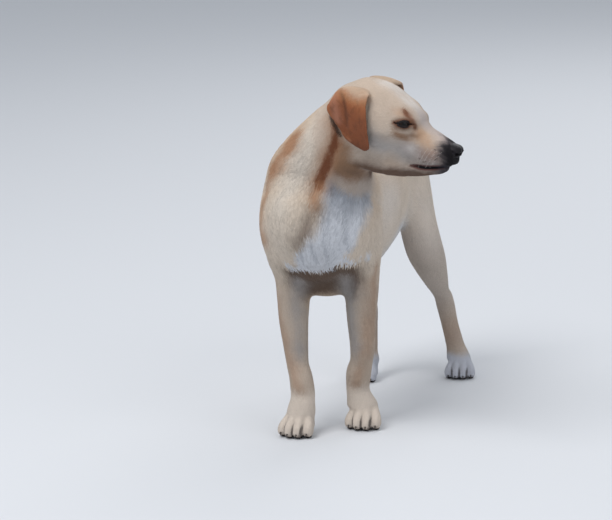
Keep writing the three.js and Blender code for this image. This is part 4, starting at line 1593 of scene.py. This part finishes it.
def coat_roots():
    """Places on the skin, spread evenly by area over how thickly each part is covered."""
    corners = skin[faces]
    middle = corners.mean(1)
    area = np.linalg.norm(np.cross(corners[:, 1] - corners[:, 0], corners[:, 2] - corners[:, 0]), axis=1)
    length, width, _, _ = tuft_sizes(middle)
    share = np.cumsum(area * ~bare(middle) / (length * width))
    picked = (np.arange(TUFTS) + rng.random(TUFTS)) / TUFTS * share[-1]
    face = np.searchsorted(share, picked).clip(0, len(faces) - 1)
    a, b = np.sqrt(rng.random(TUFTS)), rng.random(TUFTS)
    weight = np.stack([1 - a, a * (1 - b), a * b], -1)[:, :, None]
    normals = unit((skin_normals[faces[face]] * weight).sum(1))
    return (corners[face] * weight).sum(1), normals


def coat():
    """Every tuft is a thin spindle: a root just under the skin, a ring of three corners half way, and a
    tip. The ring's sides lie just under the skin and its top stands up as a ridge. The skin's field holds
    them at those heights, so that the tufts follow it round."""
    roots, normals = coat_roots()
    keep = ~bare(roots)
    roots, normals = roots[keep], normals[keep]
    count = len(roots)
    length, width, rise, tip_rise = tuft_sizes(roots)
    length = length * rng.uniform(0.75, 1.2, count)
    way = flow_at(roots, normals)
    way = unit(way + np.cross(normals, way) * rng.normal(0, 0.14, (count, 1)))
    middle = roots + way * (0.5 * length)[:, None]
    gap, out = skin_gap(middle)
    lift = rng.uniform(0.6, 1.1, count)
    middle = middle - out * (gap + SUNK)[:, None]
    onward = flat_on(way, out)
    tips = middle + onward * (0.5 * length)[:, None]
    gap, tip_out = skin_gap(tips)
    tips = tips + tip_out * (lift * tip_rise - gap)[:, None]
    side = np.cross(out, onward) * width[:, None]
    ring = np.stack([middle + side, middle + out * (SUNK + lift * rise)[:, None], middle - side], 1)
    lean = out + rng.normal(0, 0.1, (count, 3))
    across, onward = np.cross(out, onward) * 0.4, onward * 0.25
    facing = unit(np.stack([lean + across, lean, lean - across, lean - onward, lean + onward], 1))
    return roots, normals, roots - normals * 0.3, ring, tips, facing


# A tuft's points are the ring's side, top and other side, then the root and the tip. Here are their places
# in its patch of the unit square, how light they are, darker at the root and a little at the sides as painted
# shade among the hairs and lighter at the tip, and where they lie across it, in single hairs.
PATCH = 0.003
UNWRAP_SIZE = 0.996                             # leaves room for the last patches
CORNER_SPOTS = np.array([(0.0, 0.5), (0.5, 0.6), (1.0, 0.5), (0.5, 0.0), (0.5, 1.0)]) * PATCH
CORNER_SHADING = np.array([0.98, 1.0, 0.98, 0.92, 1.03])
CORNER_LANES = np.array([-1.6, 0, 1.6, 0, 0])


def unwrap(roots):
    """Places on the unit square: the turn about the middle of a part's longest axis, and the rank of the
    angle from that axis, so that the roots are spread evenly."""
    offset = roots - roots.mean(0)
    axes = np.linalg.eigh(offset.T @ offset)[1]
    along = offset @ axes
    turn = np.arctan2(along[:, 1], along[:, 0]) / (2 * math.pi) + 0.5
    angle = np.arctan2(along[:, 2], np.hypot(along[:, 0], along[:, 1]))
    rank = np.empty(len(roots))
    rank[np.argsort(angle, kind="stable")] = np.arange(len(roots)) / len(roots)
    return np.stack([turn, rank], -1) * UNWRAP_SIZE


def add_coat():
    """The coat's pieces, one for each part of the body, with their tufts' colours, single hairs and OFBake
    map."""
    roots, normals, starts, rings, tips, facing = coat()
    tone = markings(roots, normals) * rng.normal(1, 0.04, (len(roots), 1)).clip(0.88, 1.12)
    part = coat_part(roots)
    for index, name in enumerate(PARTS):
        own = part == index
        points, _, triangles = strands(starts[own], rings[own][:, None], tips[own])
        made = piece("coat_" + name, points, [triangles], hair, facing[own].reshape(-1, 3))
        paint_on(made, (tone[own][:, None] * CORNER_SHADING[None, :, None]).reshape(-1, 3))
        carry(made, "lane", "FLOAT", rng.uniform(0, 400, (own.sum(), 1)) + CORNER_LANES)
        spots = (unwrap(roots[own])[:, None] + CORNER_SPOTS).reshape(-1, 2)
        layer = made.data.uv_layers.new(name="OFBake")
        layer.data.foreach_set("uv", spots[triangles.ravel()].astype(np.float32).ravel())


# ---- all pieces ----
fur_skin = painted("fur_skin", 700, 0.0008)
hair = painted("hair", 500, 0.0003, lanes=True)
nose_leather = leather("nose_leather", shade(9, 7, 9), shade(26, 22, 27), 950, 0.42)
rim_leather = leather("rim_leather", shade(20, 15, 15), shade(40, 30, 30), 800, 0.4)
pad_leather = leather("pad_leather", shade(38, 33, 34), shade(64, 56, 54), 500, 0.7)
claw_horn = horn("claw_horn", shade(26, 21, 20), shade(70, 58, 50))
wet_eye = eyeball_finish("wet_eye")
whisker_hair = horn("whisker_hair", shade(200, 190, 180), shade(232, 226, 220))

skin_piece = piece("skin", skin, [faces], fur_skin)
paint_on(skin_piece, markings(skin, skin_normals))
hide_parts(*[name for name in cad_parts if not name.startswith(("eye", "nose"))])
for name, hand in (("eyeball_left", 1), ("eyeball_right", -1)):
    add_eyeball(name, hand, wet_eye)
rims, rim_faces = joined([rim(hand, upper) for hand in (1, -1) for upper in (True, False)])
piece("eyelid_rims", from_head(rims), rim_faces, rim_leather)
nose_points, *nose_faces = nose_shape()
nose_piece = piece("nose_leather", from_head(nose_points), nose_faces, nose_leather)
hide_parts("nose")
for name in FEET:
    points, claw_faces = joined(claws(name))
    piece("claws_" + name, points, claw_faces, claw_horn)
    points, pad_faces = joined(pads(name))
    piece("pads_" + name, points, pad_faces, pad_leather)
points, *whisker_faces = whiskers()
piece("whiskers", points, whisker_faces, whisker_hair)
add_coat()


# ---- camera, lights and floor ----
CAMERA_AZIMUTH, CAMERA_HEIGHT, CAMERA_ROLL = math.radians(19), math.radians(12), math.radians(2)
CAMERA_DISTANCE, CAMERA_LENS = 5.5, 181.2
CAMERA_TARGET = np.array([-53.7, 48.6, 298.3])
LIT_PLACE = [0, 0, 0.3]                         # where the lamps point, in metres
FLOOR_REACH = 30                                # in metres


def add_camera():
    """The camera stands back from its target, by its azimuth and height, and is turned about its own axis
    by its roll."""
    back = np.array([
        math.sin(CAMERA_AZIMUTH) * math.cos(CAMERA_HEIGHT),
        -math.cos(CAMERA_AZIMUTH) * math.cos(CAMERA_HEIGHT),
        math.sin(CAMERA_HEIGHT),
    ])
    level = np.array([math.cos(CAMERA_AZIMUTH), math.sin(CAMERA_AZIMUTH), 0.0])
    upright = np.cross(back, level)
    right = level * math.cos(CAMERA_ROLL) - upright * math.sin(CAMERA_ROLL)
    upward = upright * math.cos(CAMERA_ROLL) + level * math.sin(CAMERA_ROLL)
    place = np.eye(4)
    place[:3, :3] = np.stack([right, upward, back], 1)
    place[:3, 3] = to_row(CAMERA_TARGET) + back * CAMERA_DISTANCE
    camera = linked("camera", bpy.data.cameras.new("camera"))
    camera.data.lens = CAMERA_LENS
    camera.matrix_world = Matrix(place.tolist())
    bpy.context.scene.camera = camera


def add_light(name, place, size, energy):
    """A white square lamp, size metres wide, turned towards the dog."""
    lamp = bpy.data.lights.new(name, "AREA")
    lamp.size = size
    lamp.energy = energy
    made = linked(name, lamp)
    made.location = place
    direction = -np.array(place, float) + LIT_PLACE
    made.rotation_euler = Vector(direction).to_track_quat("-Z", "Y").to_euler()


def add_floor():
    """A pale floor that reaches far behind the dog."""
    far = FLOOR_REACH
    mesh = bpy.data.meshes.new("floor")
    mesh.from_pydata([(-far, -far, 0), (far, -far, 0), (far, far, 0), (-far, far, 0)], [], [(0, 1, 2, 3)])
    mesh.materials.append(Nodes("floor").finish(Base_Color=(0.62, 0.63, 0.65, 1), Roughness=0.9))
    floor = linked("floor", mesh)


add_camera()
add_light("key", (-1.4, -2.2, 4.3), 2.6, 140)
add_light("fill", (3.0, -1.5, 2.5), 3.0, 30)
add_light("rim", (0.5, 3.5, 3.0), 3.0, 50)
add_floor()
world = bpy.data.worlds.new("studio")
world.use_nodes = True
world.node_tree.nodes["Background"].inputs["Color"].default_value = (0.8, 0.85, 0.92, 1)
world.node_tree.nodes["Background"].inputs["Strength"].default_value = 0.66
bpy.context.scene.world = world
bpy.context.scene.view_settings.view_transform = "Standard"
